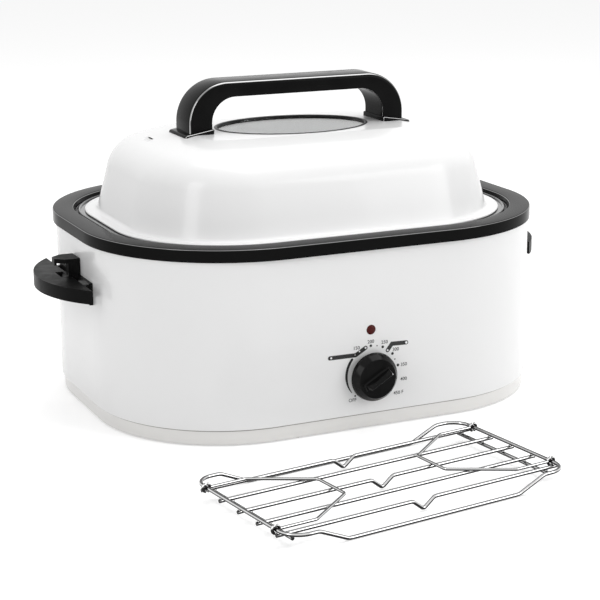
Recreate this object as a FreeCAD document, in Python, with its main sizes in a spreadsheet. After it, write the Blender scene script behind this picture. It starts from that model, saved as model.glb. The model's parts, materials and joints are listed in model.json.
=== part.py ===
# Electric roaster oven with a lift-off dome lid, a removable pan and a wire rack.
# Millimetres. +X runs along the oven's length, -Y is the front with the knob, +Z is up.
# The origin lies on the table, under the middle of the oven's footprint.
# Sheet-metal rings are drawn as profiles of (inset from the rim outline, height) and
# swept round a rounded rectangle, the way the real pressings are shaped.

import FreeCAD, Part
import math
import os
import re
import types

V = FreeCAD.Vector
doc = FreeCAD.newDocument("RoasterOven")

# ---------------------------------------------------------------- sizes

driving = {
    # rim and collar
    "rim_length": 566,          # outside of the black rim
    "rim_width": 452,
    "rim_corner": 178,
    "rim_top": 228,             # height of the rim above the table
    "lip_height": 14.5,         # visible height of the rim's outer face
    "rim_edge": 1.8,
    "rim_flat": 25,             # width of the rim's flat top
    "step_lean": 2.5,           # how far the step down to the ledge leans in
    "rim_step": 6.5,            # drop from the flat top to the pan's ledge
    "collar_seat": 8,           # width of the collar's seat under the well's flange
    "collar_gauge": 0.8,
    # housing and base
    "housing_inset": 6,         # rim outline to housing wall
    "corner_fullness": 16,      # the housing's corners are this much tighter than the rim's
    "housing_gauge": 0.7,
    "seam_height": 19,          # seam between housing and base skirt
    "seam_flange": 13,
    "skirt_step": 3,            # skirt wall stands in from the housing wall
    "skirt_gauge": 0.8,
    "skirt_hem": 9,
    "floor_gap": 1.5,           # table to the skirt's lower edge
    "cover_gauge": 0.8,
    "cover_clearance": 1,
    "cover_slot_pitch": 26,
    "cover_slot_row": 60,
    "cover_slot_width": 6,
    "cover_slot_length": 44,
    "foot_radius": 11,
    "foot_stem": 4,
    "foot_head_radius": 6,
    "foot_head": 2.5,
    "foot_end_inset": 87,
    "foot_side_inset": 85,
    "stud_x": 110,              # studs that tie the cooking well to the bottom cover
    "stud_radius": 2.5,
    "nut_radius": 5,
    "nut_height": 1.9,
    # cooking well
    "well_clearance": 1.0,      # collar step to the edge of the well's flange
    "well_gauge": 0.7,
    "well_inset": 53,           # the well's wall, below the ledge that its flange makes
    "well_floor": 36,
    "well_corner": 14,
    "shield_inset": 40,
    "shield_gauge": 0.5,
    "shield_bottom": 24,
    "blanket_thickness": 22,
    "blanket_top": 205,
    # heating element
    "element_radius": 3.5,
    "element_rise": 26,         # well floor to the element's axis
    "element_gap": 30,          # half the opening between its two ends
    "element_bend": 12,
    "element_tail": 2,
    "terminal_radius": 4,
    "terminal_bead": 5,
    "terminal_length": 10,
    "clip_gauge": 0.8,
    "clip_width": 12,
    "clip_tab": 8,
    # roasting pan
    "pan_gauge": 0.9,
    "pan_clearance": 3.5,       # collar step to the pan's rolled edge
    "pan_gap": 9,               # well wall to pan wall, at the mouth
    "pan_lift_off": 10,         # well floor to pan floor
    "pan_draft": 9,             # how far the wall leans in from mouth to floor
    "pan_corner": 22,
    "pan_bead": 1.5,
    "rest_gap": 0.2,            # between pieces that rest on each other and lift off
    # lid
    "brim_setback": 8,          # pan edge to brim edge
    "brim_width": 15,
    "brim_bead": 1.3,
    "foot_bend": 5,             # bend between brim and wall
    "lid_gauge": 0.8,
    "wall_lean": 20.7,          # the wall leans in from the brim to the unrounded shoulder
    "lid_rise": 76.8,           # rim top to the unrounded shoulder
    "shoulder_radius": 47,
    "crown_run": 43.3,          # shoulder to crown, inwards and upwards
    "crown_rise": 13,
    "crown_radius": 150,
    "panel_run": 30,            # crown to the flat panel
    "panel_rise": 6.5,
    "panel_radius": 25,
    "window_margin": 7,         # window hole to the panel's front and rear edges
    "window_foot_gap": 14,      # window hole to the handle's feet
    "gasket_wall": 3.5,
    "gasket_depth": 8,
    "gasket_flange": 3,
    "gasket_flange_height": 1.6,
    "gasket_proud": 0.6,
    "glass_thickness": 4,
    "glass_bite": 2,            # how far the glass sits in the gasket
    "retainer_gauge": 0.8,
    "vent_length": 16,
    "vent_width": 2.6,
    "vent_inset": 111,
    "vent_y": 27,
    # lid handle
    "handle_overhang": 6.5,      # panel edge to the outside of a leg
    "handle_leg": 29,
    "handle_depth": 49,
    "handle_rise": 54.3,        # foot plate to the top of the bar
    "handle_bar": 18.1,
    "outer_straight": 4.8,      # straight part of a leg below its bends
    "inner_straight": 6.2,
    "handle_edge": 5,
    "foot_plate_margin": 5,     # foot plate past the leg, front and rear
    "foot_inner_margin": 1,
    "foot_outer_margin": 7,
    "foot_plate_rise": 5.9,     # panel to foot plate, at the inside of the leg
    "foot_plate_fall": 4.8,     # from the inside of the leg to its outside
    "foot_plate_lip": 1.6,      # height of the foot plate's sloping border
    "handle_screw_inset": 19,   # outside of a leg to its screw
    "handle_screw_radius": 2.5,
    "handle_screw_length": 26,
    "screw_head_radius": 4.5,
    "screw_head_height": 3,
    "washer_radius": 6,
    "washer_gauge": 1,
    "thread_clearance": 0.05,
    # side handles
    "grip_length": 183,
    "grip_reach": 48,           # housing wall to the grip's outermost point
    "grip_slot": 11,            # housing wall to the grip's straight edge
    "grip_drop": 61,            # rim top to the grip's top
    "grip_rim": 16,
    "grip_wall": 3,
    "grip_end": 9,              # solid tip of the grip, at each end
    "flange_gauge": 4,
    "flange_rise": 0.5,
    "flange_drop": 9.5,
    "strut_width": 6,           # struts that carry the grip from the flange
    "strut_rise": 14,
    "post_width": 29,
    "post_depth": 9,
    "post_rise": 21,
    "roof_reach": 29,
    "roof_gauge": 5,
    "roof_tip": 3,              # the roof's turned-down outer edge
    "slot_near": 14,            # lid slot in the grip, measured from the wall
    "slot_far": 23,
    "rib_width": 3,
    "side_screw_drop": 11,      # grip top to its screws
    "backplate_gauge": 1.5,
    "backplate_margin": 3,      # end of the housing's flat side to the plate
    "backplate_screw_edge": 13,
    "backplate_height": 20,
    # knob and thermostat
    "knob_rise": 46,            # seam to the knob's axis
    "knob_standoff": 2.4,
    "knob_hub_radius": 21,
    "knob_hub": 5,              # depth of the hub behind the skirt
    "knob_radius": 29,
    "knob_skirt": 5,
    "knob_face": 23,            # radius of the flat face inside the sloping ring
    "knob_depth": 6,            # skirt to face
    "pointer_angle": 30,        # degrees above the +X direction, at rest
    "pointer_width": 1.4,
    "pointer_proud": 0.3,
    "grip_bar_half": 18.2,
    "grip_bar_width": 9,
    "grip_bar_draft": 10,       # degrees
    "grip_bar_rise": 12,        # face to ridge
    "shaft_radius": 3,
    "shaft_in_knob": 12,
    "shaft_clearance": 0.05,
    "shaft_flat": 2.2,          # shaft axis to its flat
    "shaft_hole": 5.5,
    "bushing_radius": 5,
    "thermostat_width": 42,
    "thermostat_depth": 26,
    "thermostat_height": 30,
    "bracket_length": 64,
    "bracket_height": 24,
    "bracket_gauge": 1.5,
    "bracket_screw_x": 15,
    "sensor_radius": 8,
    "panel_screw_radius": 1.5,
    # indicator lamp
    "lamp_rise": 54,            # knob's axis to the lamp's
    "lens_radius": 5.8,
    "lens_dome": 1.8,
    "lens_stem": 4,
    "lens_stem_length": 12,
    "lens_wall": 1,
    "bulb_length": 16,
    "bulb_seat": 0.5,           # bulb to the inside of the lens
    "lamp_clip_radius": 7.5,
    "lamp_clip_gauge": 1,
    # mains inlet and wiring
    "gland_radius": 8,
    "gland_flange": 11,
    "gland_gauge": 3,
    "gland_bore": 3.8,
    "gland_length": 18,
    "block_length": 44,
    "block_width": 20,
    "block_height": 13,
    "block_distance": 70,       # rear wall to the middle of the block
    "way_radius": 2.4,
    "way_pitch": 14,
    "earth_screw_x": 44,
    "earth_screw_radius": 2,
    "lead_radius": 1.4,
    "lead_bend": 8,
    "tight_bend": 5.5,
    "lead_run": 1.5,            # leads on the base run this much above their ways
    "live_exit": 40,            # straight part of a lead where it leaves the block
    "neutral_exit": 35,
    "earth_exit": 12,
    "live_side": 8,
    "neutral_side": 57,
    "lamp_lead_radius": 0.8,
    "cover_screw_radius": 1.8,
    "cover_screw_length": 5,
    "cover_screw_x": 90,
    "cover_screw_edge": 3,
    "seam_screw_length": 4,
    "seam_screw_x": 80,
    "seam_screw_y": 30,
    # rack
    "rack_x": -77,
    "rack_distance": 176,       # rim front to the middle of the rack
    "rack_turn": 8.1,           # degrees, seen from above
    "rack_length": 345,         # between the two end bars
    "rack_width": 192,
    "rack_corner": 22,
    "rack_height": 17,          # axis of the end bars
    "rack_foot_run": 66,        # end bar to the foot's straight part
    "rack_ramp": 34,
    "rack_bend": 16,
    "rack_wire": 2.1,           # wire radius
    "rod_overhang": 3,
    "dip_width": 27,
    "dip_clearance": 0.2,
    "cross_rod_inset": 12,
    "bail_wire": 1.7,
    "bail_clearance": 0.35,
    "bail_side_gap": 6,         # bend of the end bar to the bail's eye
    "bail_rod_gap": 5.5,          # bail's eye to the outer rod
    "bail_bend": 6,
    "bail_leg": 47,
    "bail_reach": 109,
    "bail_tip": 25,
}

# Heights and insets that follow from the driving sizes.
derived = {
    "lip_bottom": "rim_top - lip_height",
    "ledge_top": "rim_top - rim_step",
    "step_inset": "rim_flat + step_lean",
    "seat_top": "ledge_top - well_gauge",
    "housing_top": "rim_top - collar_gauge",
    "housing_corner": "rim_corner - corner_fullness",
    "housing_half": "rim_length / 2 - housing_inset",
    "front_wall": "rim_width / 2 - housing_inset",
    "front_inside": "front_wall - housing_gauge",
    "body_path_corner": "housing_corner + housing_inset",
    "skirt_inset": "housing_inset + skirt_step",
    "cover_bottom": "floor_gap + skirt_gauge",
    "cover_top": "cover_bottom + cover_gauge",
    "well_outside": "well_inset - well_gauge",
    "well_front": "rim_width / 2 - well_outside",
    "well_edge": "step_inset + well_clearance",
    "element_height": "well_floor + element_rise",
    "pan_flange_inset": "step_inset + pan_clearance",
    "pan_flange_bottom": "ledge_top + rest_gap",
    "pan_flange_top": "pan_flange_bottom + pan_gauge",
    "pan_mouth_inset": "well_inset + pan_gap",
    "pan_floor": "well_floor + pan_lift_off",
    "brim_inset": "pan_flange_inset + brim_setback",
    "brim_bottom": "pan_flange_top + rest_gap",
    "lid_foot_inset": "brim_inset + brim_width",
    "shoulder_inset": "lid_foot_inset + wall_lean",
    "shoulder_height": "rim_top + lid_rise",
    "crown_inset": "shoulder_inset + crown_run",
    "crown_height": "shoulder_height + crown_rise",
    "panel_inset": "crown_inset + panel_run",
    "panel_height": "crown_height + panel_rise",
    "panel_half": "rim_length / 2 - panel_inset",
    "handle_half": "panel_half + handle_overhang",
    "handle_inner_half": "handle_half - handle_leg",
    "handle_screw_x": "handle_half - handle_screw_inset",
    "window_half_length": "handle_inner_half - foot_inner_margin - window_foot_gap",
    "window_half_width": "rim_width / 2 - panel_inset - window_margin",
    "foot_plate_top": "panel_height + foot_plate_rise",
    "foot_plate_low": "foot_plate_top - foot_plate_fall",
    "handle_top": "foot_plate_top + handle_rise",
    "panel_bottom": "panel_height - lid_gauge",
    "gasket_floor": "panel_height + gasket_proud - gasket_depth",
    "glass_bottom": "gasket_floor + (gasket_depth - gasket_proud - glass_thickness) / 2",
    "retainer_top": "panel_bottom - gasket_flange_height",
    "bar_bottom": "handle_top - handle_bar",
    "handle_outer_round": "handle_rise - outer_straight",
    "handle_inner_round": "handle_rise - handle_bar - inner_straight",
    "grip_half": "grip_length / 2",
    "grip_top": "rim_top - grip_drop",
    "flange_half": "front_wall - housing_corner",
    "backplate_half": "flange_half - backplate_margin",
    "side_screw_y": "backplate_half - backplate_screw_edge",
    "side_screw_z": "grip_top - side_screw_drop",
    "knob_height": "seam_height + knob_rise",
    "lamp_height": "knob_height + lamp_rise",
    "gland_height": "seam_height + gland_flange",
    "block_y": "front_wall - block_distance",
    "foot_x": "housing_half - foot_end_inset",
    "foot_y": "front_wall - foot_side_inset",
    "vent_x": "rim_length / 2 - vent_inset",
    "knob_back": "front_wall + knob_standoff",
    "knob_front": "knob_hub + knob_skirt",
    "knob_face_depth": "knob_front + knob_depth",
    "knob_ridge": "knob_face_depth + grip_bar_rise",
    "thermostat_front": "front_inside - bracket_gauge",
    "thermostat_back": "thermostat_front - thermostat_depth",
    "rack_y": "-rim_width / 2 - rack_distance",
    "bail_half": "rack_width / 2 - rack_corner - bail_side_gap",
    "rod_spacing": "(bail_half + bail_rod_gap) / 2",
    "rod_height": "rack_height - 2 * rack_wire",
    "cross_height": "rack_height - 4 * rack_wire",
}


def build_sheet():
    sheet = doc.addObject("Spreadsheet::Sheet", "Sizes")
    rows = [(name, str(value)) for name, value in driving.items()]
    rows += [(name, "=" + formula) for name, formula in derived.items()]
    for number, (name, content) in enumerate(rows, start=1):
        sheet.set(f"A{number}", name)
        sheet.set(f"B{number}", content)
        sheet.setAlias(f"B{number}", name)
    doc.recompute()
    return sheet, types.SimpleNamespace(**{name: float(sheet.get(name)) for name, _ in rows})


sheet, s = build_sheet()


def bind(thing, prop, formula):
    """Ties one property to the sheet; names in the formula are the sheet's aliases."""
    known = set(driving) | set(derived)
    text = re.sub(r"[a-z][a-z_]*", lambda m: "Sizes." + m[0] if m[0] in known else m[0], formula)
    thing.setExpression(prop, text)


# ---------------------------------------------------------------- outlines

def unit(a, b):
    run = math.hypot(b[0] - a[0], b[1] - a[1])
    return (b[0] - a[0]) / run, (b[1] - a[1]) / run


def rounded(points):
    """Closed outline through (x, y, corner radius) points, as lines and tangent arcs."""
    count = len(points)
    corners = []
    for i, (x, y, radius) in enumerate(points):
        ux, uy = unit(points[i - 1], (x, y))
        wx, wy = unit((x, y), points[(i + 1) % count])
        turn = math.atan2(ux * wy - uy * wx, ux * wx + uy * wy)
        reach = radius * math.tan(abs(turn) / 2)
        start = (x - ux * reach, y - uy * reach)
        end = (x + wx * reach, y + wy * reach)
        side = math.copysign(1, turn)
        bx, by = wx - ux, wy - uy
        size = math.hypot(bx, by)
        middle = start
        if radius > 0 and size > 1e-9:
            to_centre = radius / math.cos(turn / 2)
            middle = (x + bx / size * (to_centre - radius), y + by / size * (to_centre - radius))
        corners.append((start, middle, end, side))
    edges = []
    for i, (start, middle, end, side) in enumerate(corners):
        if math.dist(start, end) > 1e-6:
            edges.append(Part.Arc(V(*start, 0), V(*middle, 0), V(*end, 0)))
        after = corners[(i + 1) % count][0]
        if math.dist(end, after) > 1e-6:
            edges.append(Part.LineSegment(V(*end, 0), V(*after, 0)))
    return edges


def sheet_outline(points, gauge):
    """Closed outline of sheet metal: the given open line and its offset to the right."""
    count = len(points)
    normals = []
    for a, b in zip(points, points[1:]):
        ux, uy = unit(a, b)
        normals.append((uy, -ux))
    offset = []
    for i, (x, y, radius) in enumerate(points):
        before = normals[max(i - 1, 0)]
        after = normals[min(i, count - 2)]
        blend = 1 + before[0] * after[0] + before[1] * after[1]
        ox = x + gauge * (before[0] + after[0]) / blend
        oy = y + gauge * (before[1] + after[1]) / blend
        turn = before[0] * after[1] - before[1] * after[0]
        grown = 0
        if radius > 0:
            grown = max(radius + gauge * math.copysign(1, turn), 0)
        offset.append((ox, oy, grown))
    return rounded(list(points) + offset[::-1])


def plane(body, role):
    return next(f for f in body.Origin.OriginFeatures if f.Role == role)


def new_body(name):
    body = doc.addObject("PartDesign::Body", name)
    body.Label = name
    return body


def draw(body, name, role, edges, height=None):
    """A sketch on one of the body's origin planes, raised along the plane's normal."""
    sketch = body.newObject("Sketcher::SketchObject", name)
    sketch.AttachmentSupport = (plane(body, role), [""])
    sketch.MapMode = "FlatFace"
    sketch.addGeometry(edges, False)
    if height:
        bind(sketch, "AttachmentOffset.Base.z", height)
    return sketch


def pad(body, sketch, length, midplane=False, backwards=False):
    feature = body.newObject("PartDesign::Pad", sketch.Name + "_pad")
    feature.Profile = sketch
    feature.Midplane = midplane
    feature.Reversed = backwards
    bind(feature, "Length", length)
    return feature


def pocket(body, sketch, length, midplane=False, backwards=False):
    feature = body.newObject("PartDesign::Pocket", sketch.Name + "_cut")
    feature.Profile = sketch
    feature.Midplane = midplane
    feature.Reversed = backwards
    bind(feature, "Length", length)
    return feature


def circle(x, y, radius):
    return Part.Circle(V(x, y, 0), V(0, 0, 1), radius)


def ellipse(half_length, half_width):
    along, across = V(half_length, 0, 0), V(0, half_width, 0)
    if half_width > half_length:
        along, across = across, -along
    return Part.Ellipse(along, across, V(0, 0, 0))


def rectangle(x0, y0, x1, y1, radius=0):
    return rounded([(x0, y0, radius), (x1, y0, radius), (x1, y1, radius), (x0, y1, radius)])


def ring_edges(inset, corner):
    """The rim's outline moved in by an inset, starting in the middle of the front."""
    half, deep = s.rim_length / 2 - inset, s.rim_width / 2 - inset
    outline = rounded([(-half, -deep, corner), (half, -deep, corner), (half, deep, corner),
                       (-half, deep, corner)])
    front = next(e for e in outline if isinstance(e, Part.LineSegment)
                 and abs(e.StartPoint.y + deep) < 1e-6 and abs(e.EndPoint.y + deep) < 1e-6)
    place = outline.index(front)
    middle = V(0, -deep, 0)
    after = outline[place + 1:] + outline[:place]
    return [Part.LineSegment(middle, front.EndPoint)] + after + [
        Part.LineSegment(front.StartPoint, middle)]


def sweep_ring(body, name, profile, corner):
    """Sweeps (inset, height) profile edges round the rim outline with a corner radius."""
    path = draw(body, name + "_path", "XY_Plane", ring_edges(0, corner))
    section = draw(body, name + "_section", "YZ_Plane", profile)
    feature = body.newObject("PartDesign::AdditivePipe", name)
    feature.Profile = section
    feature.Spine = (path, [f"Edge{i + 1}" for i in range(path.GeometryCount)])
    return feature


def section_points(points):
    """(inset, height, radius) points as points of the YZ plane at the front."""
    return [(inset - s.rim_width / 2, height, radius) for inset, height, radius in points]


def sheet_ring(body, name, points, gauge, corner):
    return sweep_ring(body, name, sheet_outline(section_points(points), gauge), corner)


def floor_plate(body, name, inset, corner, bottom, gauge):
    sketch = draw(body, name, "XY_Plane", ring_edges(inset, corner), height=bottom)
    return pad(body, sketch, gauge)


# ---------------------------------------------------------------- wires and rods

def bent_path(points):
    """Straight runs through (x, y, z, bend radius) points, joined by tangent arcs."""
    edges = []
    last = V(*points[0][:3])
    for before, here, after in zip(points, points[1:], points[2:]):
        corner = V(*here[:3])
        into = (corner - V(*before[:3])).normalize()
        out = (V(*after[:3]) - corner).normalize()
        turn = into.getAngle(out)
        reach = here[3] * math.tan(turn / 2)
        start = corner - into * reach
        end = corner + out * reach
        towards = (out - into).normalize()
        middle = corner + towards * (here[3] / math.cos(turn / 2) - here[3])
        edges.append(Part.LineSegment(last, start).toShape())
        edges.append(Part.Arc(start, middle, end).toShape())
        last = end
    edges.append(Part.LineSegment(last, V(*points[-1][:3])).toShape())
    return Part.Wire(edges)


def tube_shape(path, radius):
    """Round wire along a path, checked against its section times its length."""
    start = path.Edges[0]
    where = start.Vertexes[0].Point
    along = start.tangentAt(start.FirstParameter)
    disc = Part.Wire(Part.Circle(where, along, radius).toShape())
    solid = path.makePipeShell([disc], True, False)
    expected = math.pi * radius ** 2 * path.Length
    if abs(abs(solid.Volume) / expected - 1) > 0.01:
        raise ValueError(f"tube of {path.Length:.1f} mm has volume {solid.Volume:.1f}, not {expected:.1f}")
    return solid


def shape_node(name, shape, placement=None):
    node = doc.addObject("Part::Feature", name)
    node.Label = name
    node.Shape = shape
    if placement:
        node.Placement = placement
    return node


def cylinder(name, radius, length, base, direction):
    """A Part cylinder whose axis leaves base along direction."""
    rod = doc.addObject("Part::Cylinder", name)
    bind(rod, "Radius", radius)
    bind(rod, "Height", length)
    rod.Placement = FreeCAD.Placement(V(*base), FreeCAD.Rotation(V(0, 0, 1), V(*direction)))
    return rod


def block(name, length, width, height, base):
    box = doc.addObject("Part::Box", name)
    bind(box, "Length", length)
    bind(box, "Width", width)
    bind(box, "Height", height)
    box.Placement.Base = V(*base)
    return box


def fuse(name, shapes):
    joined = doc.addObject("Part::MultiFuse", name)
    joined.Shapes = shapes
    joined.Label = name
    return joined


def cut(name, base, tool):
    result = doc.addObject("Part::Cut", name)
    result.Base = base
    result.Tool = tool
    result.Label = name
    return result


def group(name, members):
    compound = doc.addObject("Part::Compound", name)
    compound.Links = members
    compound.Label = name
    return compound


def screw(name, radius, length, head_radius, head_height, seat, direction):
    """A pan-head screw; its shank leaves seat along direction and its head lies behind."""
    back = [-d for d in direction]
    shank = cylinder(name + "_shank", radius, length, seat, direction)
    head = cylinder(name + "_head", head_radius, head_height, seat, back)
    return fuse(name, [shank, head])


# ---------------------------------------------------------------- housing and base

def outer_housing():
    body = new_body("outer_housing")
    flange = s.housing_inset + s.seam_flange
    sheet_ring(body, "housing_wall", [
        (s.housing_inset, s.housing_top, 0),
        (s.housing_inset, s.seam_height, 1.5),
        (flange, s.seam_height, 0),
    ][::-1], s.housing_gauge, s.body_path_corner)
    screws = [circle(x, s.knob_height, s.panel_screw_radius + s.thread_clearance)
              for x in (-s.bracket_screw_x, s.bracket_screw_x)]
    front = [circle(0, s.knob_height, s.shaft_hole),
             circle(0, s.lamp_height, s.lens_stem + s.thread_clearance)] + screws
    pocket(body, draw(body, "front_holes", "XZ_Plane", front), "rim_width", backwards=True)
    sides = [circle(y, s.side_screw_z, s.panel_screw_radius + s.thread_clearance)
             for y in (-s.side_screw_y, s.side_screw_y)]
    pocket(body, draw(body, "side_holes", "YZ_Plane", sides), "rim_length * 2", midplane=True)
    inlet = [circle(0, s.gland_height, s.gland_radius + s.thread_clearance)]
    pocket(body, draw(body, "inlet_hole", "XZ_Plane", inlet), "rim_width")
    seam = [circle(x, y, s.cover_screw_radius) for x, y in seam_screw_spots()]
    pocket(body, draw(body, "seam_holes", "XY_Plane", seam), "seam_height * 2", backwards=True)


def base_skirt():
    body = new_body("base_skirt")
    sheet_ring(body, "skirt_wall", [
        (s.housing_inset + s.seam_flange, s.seam_height, 0),
        (s.skirt_inset, s.seam_height, 1.5),
        (s.skirt_inset, s.floor_gap, 1.5),
        (s.skirt_inset + s.skirt_hem, s.floor_gap, 0),
    ], -s.skirt_gauge, s.body_path_corner)
    holes = [circle(x, y, s.cover_screw_radius + s.thread_clearance) for x, y in cover_screw_spots()]
    pocket(body, draw(body, "hem_holes", "XY_Plane", holes), "cover_top", backwards=True)
    seam = [circle(x, y, s.cover_screw_radius) for x, y in seam_screw_spots()]
    pocket(body, draw(body, "seam_holes", "XY_Plane", seam, height="seam_height / 2"), "seam_height",
           backwards=True)


def cover_screw_spots():
    inset = s.skirt_inset + s.skirt_hem - s.cover_screw_edge
    x, y = s.rim_length / 2 - inset, s.rim_width / 2 - inset
    near = s.cover_screw_x
    return [(-near, -y), (near, -y), (-near, y), (near, y), (-x, 0), (x, 0)]


def foot_spots():
    return [(x, y) for x in (-s.foot_x, s.foot_x) for y in (-s.foot_y, s.foot_y)]


def bottom_cover():
    body = new_body("bottom_cover")
    inset = s.skirt_inset + s.skirt_gauge + s.cover_clearance
    floor_plate(body, "cover_plate", inset, s.body_path_corner - inset, "cover_bottom", "cover_gauge")
    holes = [circle(x, y, s.cover_screw_radius + s.thread_clearance) for x, y in cover_screw_spots()]
    holes += [circle(x, y, s.foot_stem) for x, y in foot_spots()]
    holes += [circle(x, 0, s.stud_radius + s.thread_clearance) for x in (-s.stud_x, s.stud_x)]
    holes.append(circle(s.earth_screw_x, s.block_y, s.earth_screw_radius))
    slots = []
    wide, long = s.cover_slot_width / 2, s.cover_slot_length / 2
    for row in (-1, 1):
        for place in range(-4, 5):
            x, y = place * s.cover_slot_pitch, row * s.cover_slot_row
            slots += rectangle(x - wide, y - long, x + wide, y + long, wide * 0.95)
    pocket(body, draw(body, "cover_holes", "XY_Plane", holes + slots), "rim_top", midplane=True)


def feet():
    members = []
    for number, (x, y) in enumerate(foot_spots(), start=1):
        name = f"foot_{number}"
        pads = cylinder(name + "_pad", "foot_radius", "cover_bottom", (x, y, 0), (0, 0, 1))
        stem = cylinder(name + "_stem", "foot_stem", "cover_gauge", (x, y, s.cover_bottom), (0, 0, 1))
        head = cylinder(name + "_head", "foot_head_radius", "foot_head", (x, y, s.cover_top), (0, 0, 1))
        members.append(fuse(name, [pads, stem, head]))
    group("feet", members)


def cover_screws():
    members = []
    for number, (x, y) in enumerate(cover_screw_spots(), start=1):
        members.append(screw(f"cover_screw_{number}", "cover_screw_radius", "cover_screw_length",
                             "cover_screw_radius * 1.8", "floor_gap * 0.8", (x, y, s.floor_gap),
                             (0, 0, 1)))
    group("cover_screws", members)


def seam_screw_spots():
    inset = s.housing_inset + s.seam_flange * 0.6
    x, y = s.rim_length / 2 - inset, s.rim_width / 2 - inset
    near, side = s.seam_screw_x, s.seam_screw_y
    return [(-near, -y), (near, -y), (-near, y), (near, y),
            (-x, -side), (x, -side), (-x, side), (x, side)]


def seam_screws():
    """Screws that pull the base skirt's flange up against the housing's."""
    members = [screw(f"seam_screw_{number}", "cover_screw_radius", "seam_screw_length",
                     "cover_screw_radius * 1.8", "cover_screw_radius",
                     (*spot, s.seam_height - s.skirt_gauge), (0, 0, 1))
               for number, spot in enumerate(seam_screw_spots(), start=1)]
    group("seam_screws", members)


def tie_studs():
    """Studs welded under the cooking well, with a nut below the bottom cover."""
    top = "well_floor - well_gauge"
    studs, nuts = [], []
    for word, x in (("left", -s.stud_x), ("right", s.stud_x)):
        base = s.cover_bottom - s.nut_height
        studs.append(cylinder(f"stud_{word}", "stud_radius", f"{top} - cover_bottom + nut_height",
                              (x, 0, base), (0, 0, 1)))
        nut = doc.addObject("Part::Prism", f"nut_{word}_hexagon")
        nut.Polygon = 6
        bind(nut, "Circumradius", "nut_radius")
        bind(nut, "Height", "nut_height")
        nut.Placement.Base = V(x, 0, base)
        bore = cylinder(f"nut_{word}_bore", "stud_radius", "nut_height", (x, 0, base), (0, 0, 1))
        nuts.append(cut(f"nut_{word}", nut, bore))
    group("tie_studs", studs)
    group("tie_nuts", nuts)


def rim_collar():
    body = new_body("rim_collar")
    sheet_ring(body, "collar", [
        (0, s.lip_bottom, 0),
        (0, s.rim_top, s.rim_edge),
        (s.rim_flat, s.rim_top, 2),
        (s.step_inset, s.seat_top, 1),
        (s.step_inset + s.collar_seat, s.seat_top, 0),
    ], s.collar_gauge, s.rim_corner)
    lip_inside = s.collar_gauge / 2
    hem = ring_edges(lip_inside, s.rim_corner - lip_inside)
    hem += ring_edges(s.housing_inset, s.housing_corner)
    pad(body, draw(body, "lip_hem", "XY_Plane", hem, height="lip_bottom"), "collar_gauge")


# ---------------------------------------------------------------- cooking well and heater

def cooking_well():
    body = new_body("cooking_well")
    floor_inset = s.well_inset + 2 * s.well_corner
    sheet_ring(body, "well_wall", [
        (s.well_edge, s.ledge_top, 0),
        (s.well_inset, s.ledge_top, 2),
        (s.well_inset, s.well_floor, s.well_corner),
        (floor_inset, s.well_floor, 0),
    ], s.well_gauge, s.rim_corner)
    floor_plate(body, "well_floor_plate", floor_inset - 1, s.rim_corner - floor_inset + 1,
                "well_floor - well_gauge", "well_gauge")


def heat_shield():
    body = new_body("heat_shield")
    sheet_ring(body, "shield_wall", [
        (s.shield_inset, s.shield_bottom, 0),
        (s.shield_inset, s.seat_top, 0),
    ], s.shield_gauge, s.rim_corner)
    width = s.element_gap + 9
    opening = rectangle(-width, s.shield_bottom - 5, width, s.knob_height + s.thermostat_height, 6)
    pocket(body, draw(body, "shield_opening", "XZ_Plane", opening), "rim_width", backwards=True)


def insulation_blanket():
    body = new_body("insulation_blanket")
    near, far = s.shield_inset - s.blanket_thickness, s.shield_inset
    low = s.seam_height + s.housing_gauge
    sweep_ring(body, "blanket", rounded(section_points([
        (near, low, 0), (far, low, 0), (far, s.blanket_top, 3), (near, s.blanket_top, 3)])),
        s.rim_corner)
    width = s.element_gap + 10
    front = rectangle(-width, low - 5, width, s.lamp_height + 25, 8)
    pocket(body, draw(body, "blanket_front", "XZ_Plane", front), "rim_width", backwards=True)
    back = rectangle(-22, low - 5, 22, s.gland_height + 22, 8)
    pocket(body, draw(body, "blanket_back", "XZ_Plane", back), "rim_width")


def element_inset():
    return s.well_outside - s.element_radius


def heating_element():
    inset = element_inset()
    half, deep = s.rim_length / 2 - inset, s.rim_width / 2 - inset
    bend = s.rim_corner - inset
    z = s.element_height
    tail = deep + s.element_bend + s.element_tail
    gap = s.element_gap
    shape = tube_shape(bent_path([
        (gap, -tail, z, 0), (gap, -deep, z, s.element_bend), (half, -deep, z, bend),
        (half, deep, z, bend), (-half, deep, z, bend), (-half, -deep, z, bend),
        (-gap, -deep, z, s.element_bend), (-gap, -tail, z, 0)]), s.element_radius)
    shape_node("heating_element", shape)


def element_ends():
    deep = s.rim_width / 2 - element_inset()
    y = -(deep + s.element_bend + s.element_tail)
    return [(side * s.element_gap, y, s.element_height) for side in (-1, 1)]


def element_terminals():
    members = []
    for name, (x, y, z) in zip(("left", "right"), element_ends()):
        bead = cylinder(f"terminal_{name}_bead", "terminal_radius", "terminal_bead", (x, y, z),
                        (0, -1, 0))
        pin = cylinder(f"terminal_{name}_pin", "lead_radius", "terminal_length", (x, y, z), (0, -1, 0))
        members.append(fuse(f"terminal_{name}", [bead, pin]))
    group("element_terminals", members)


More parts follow.
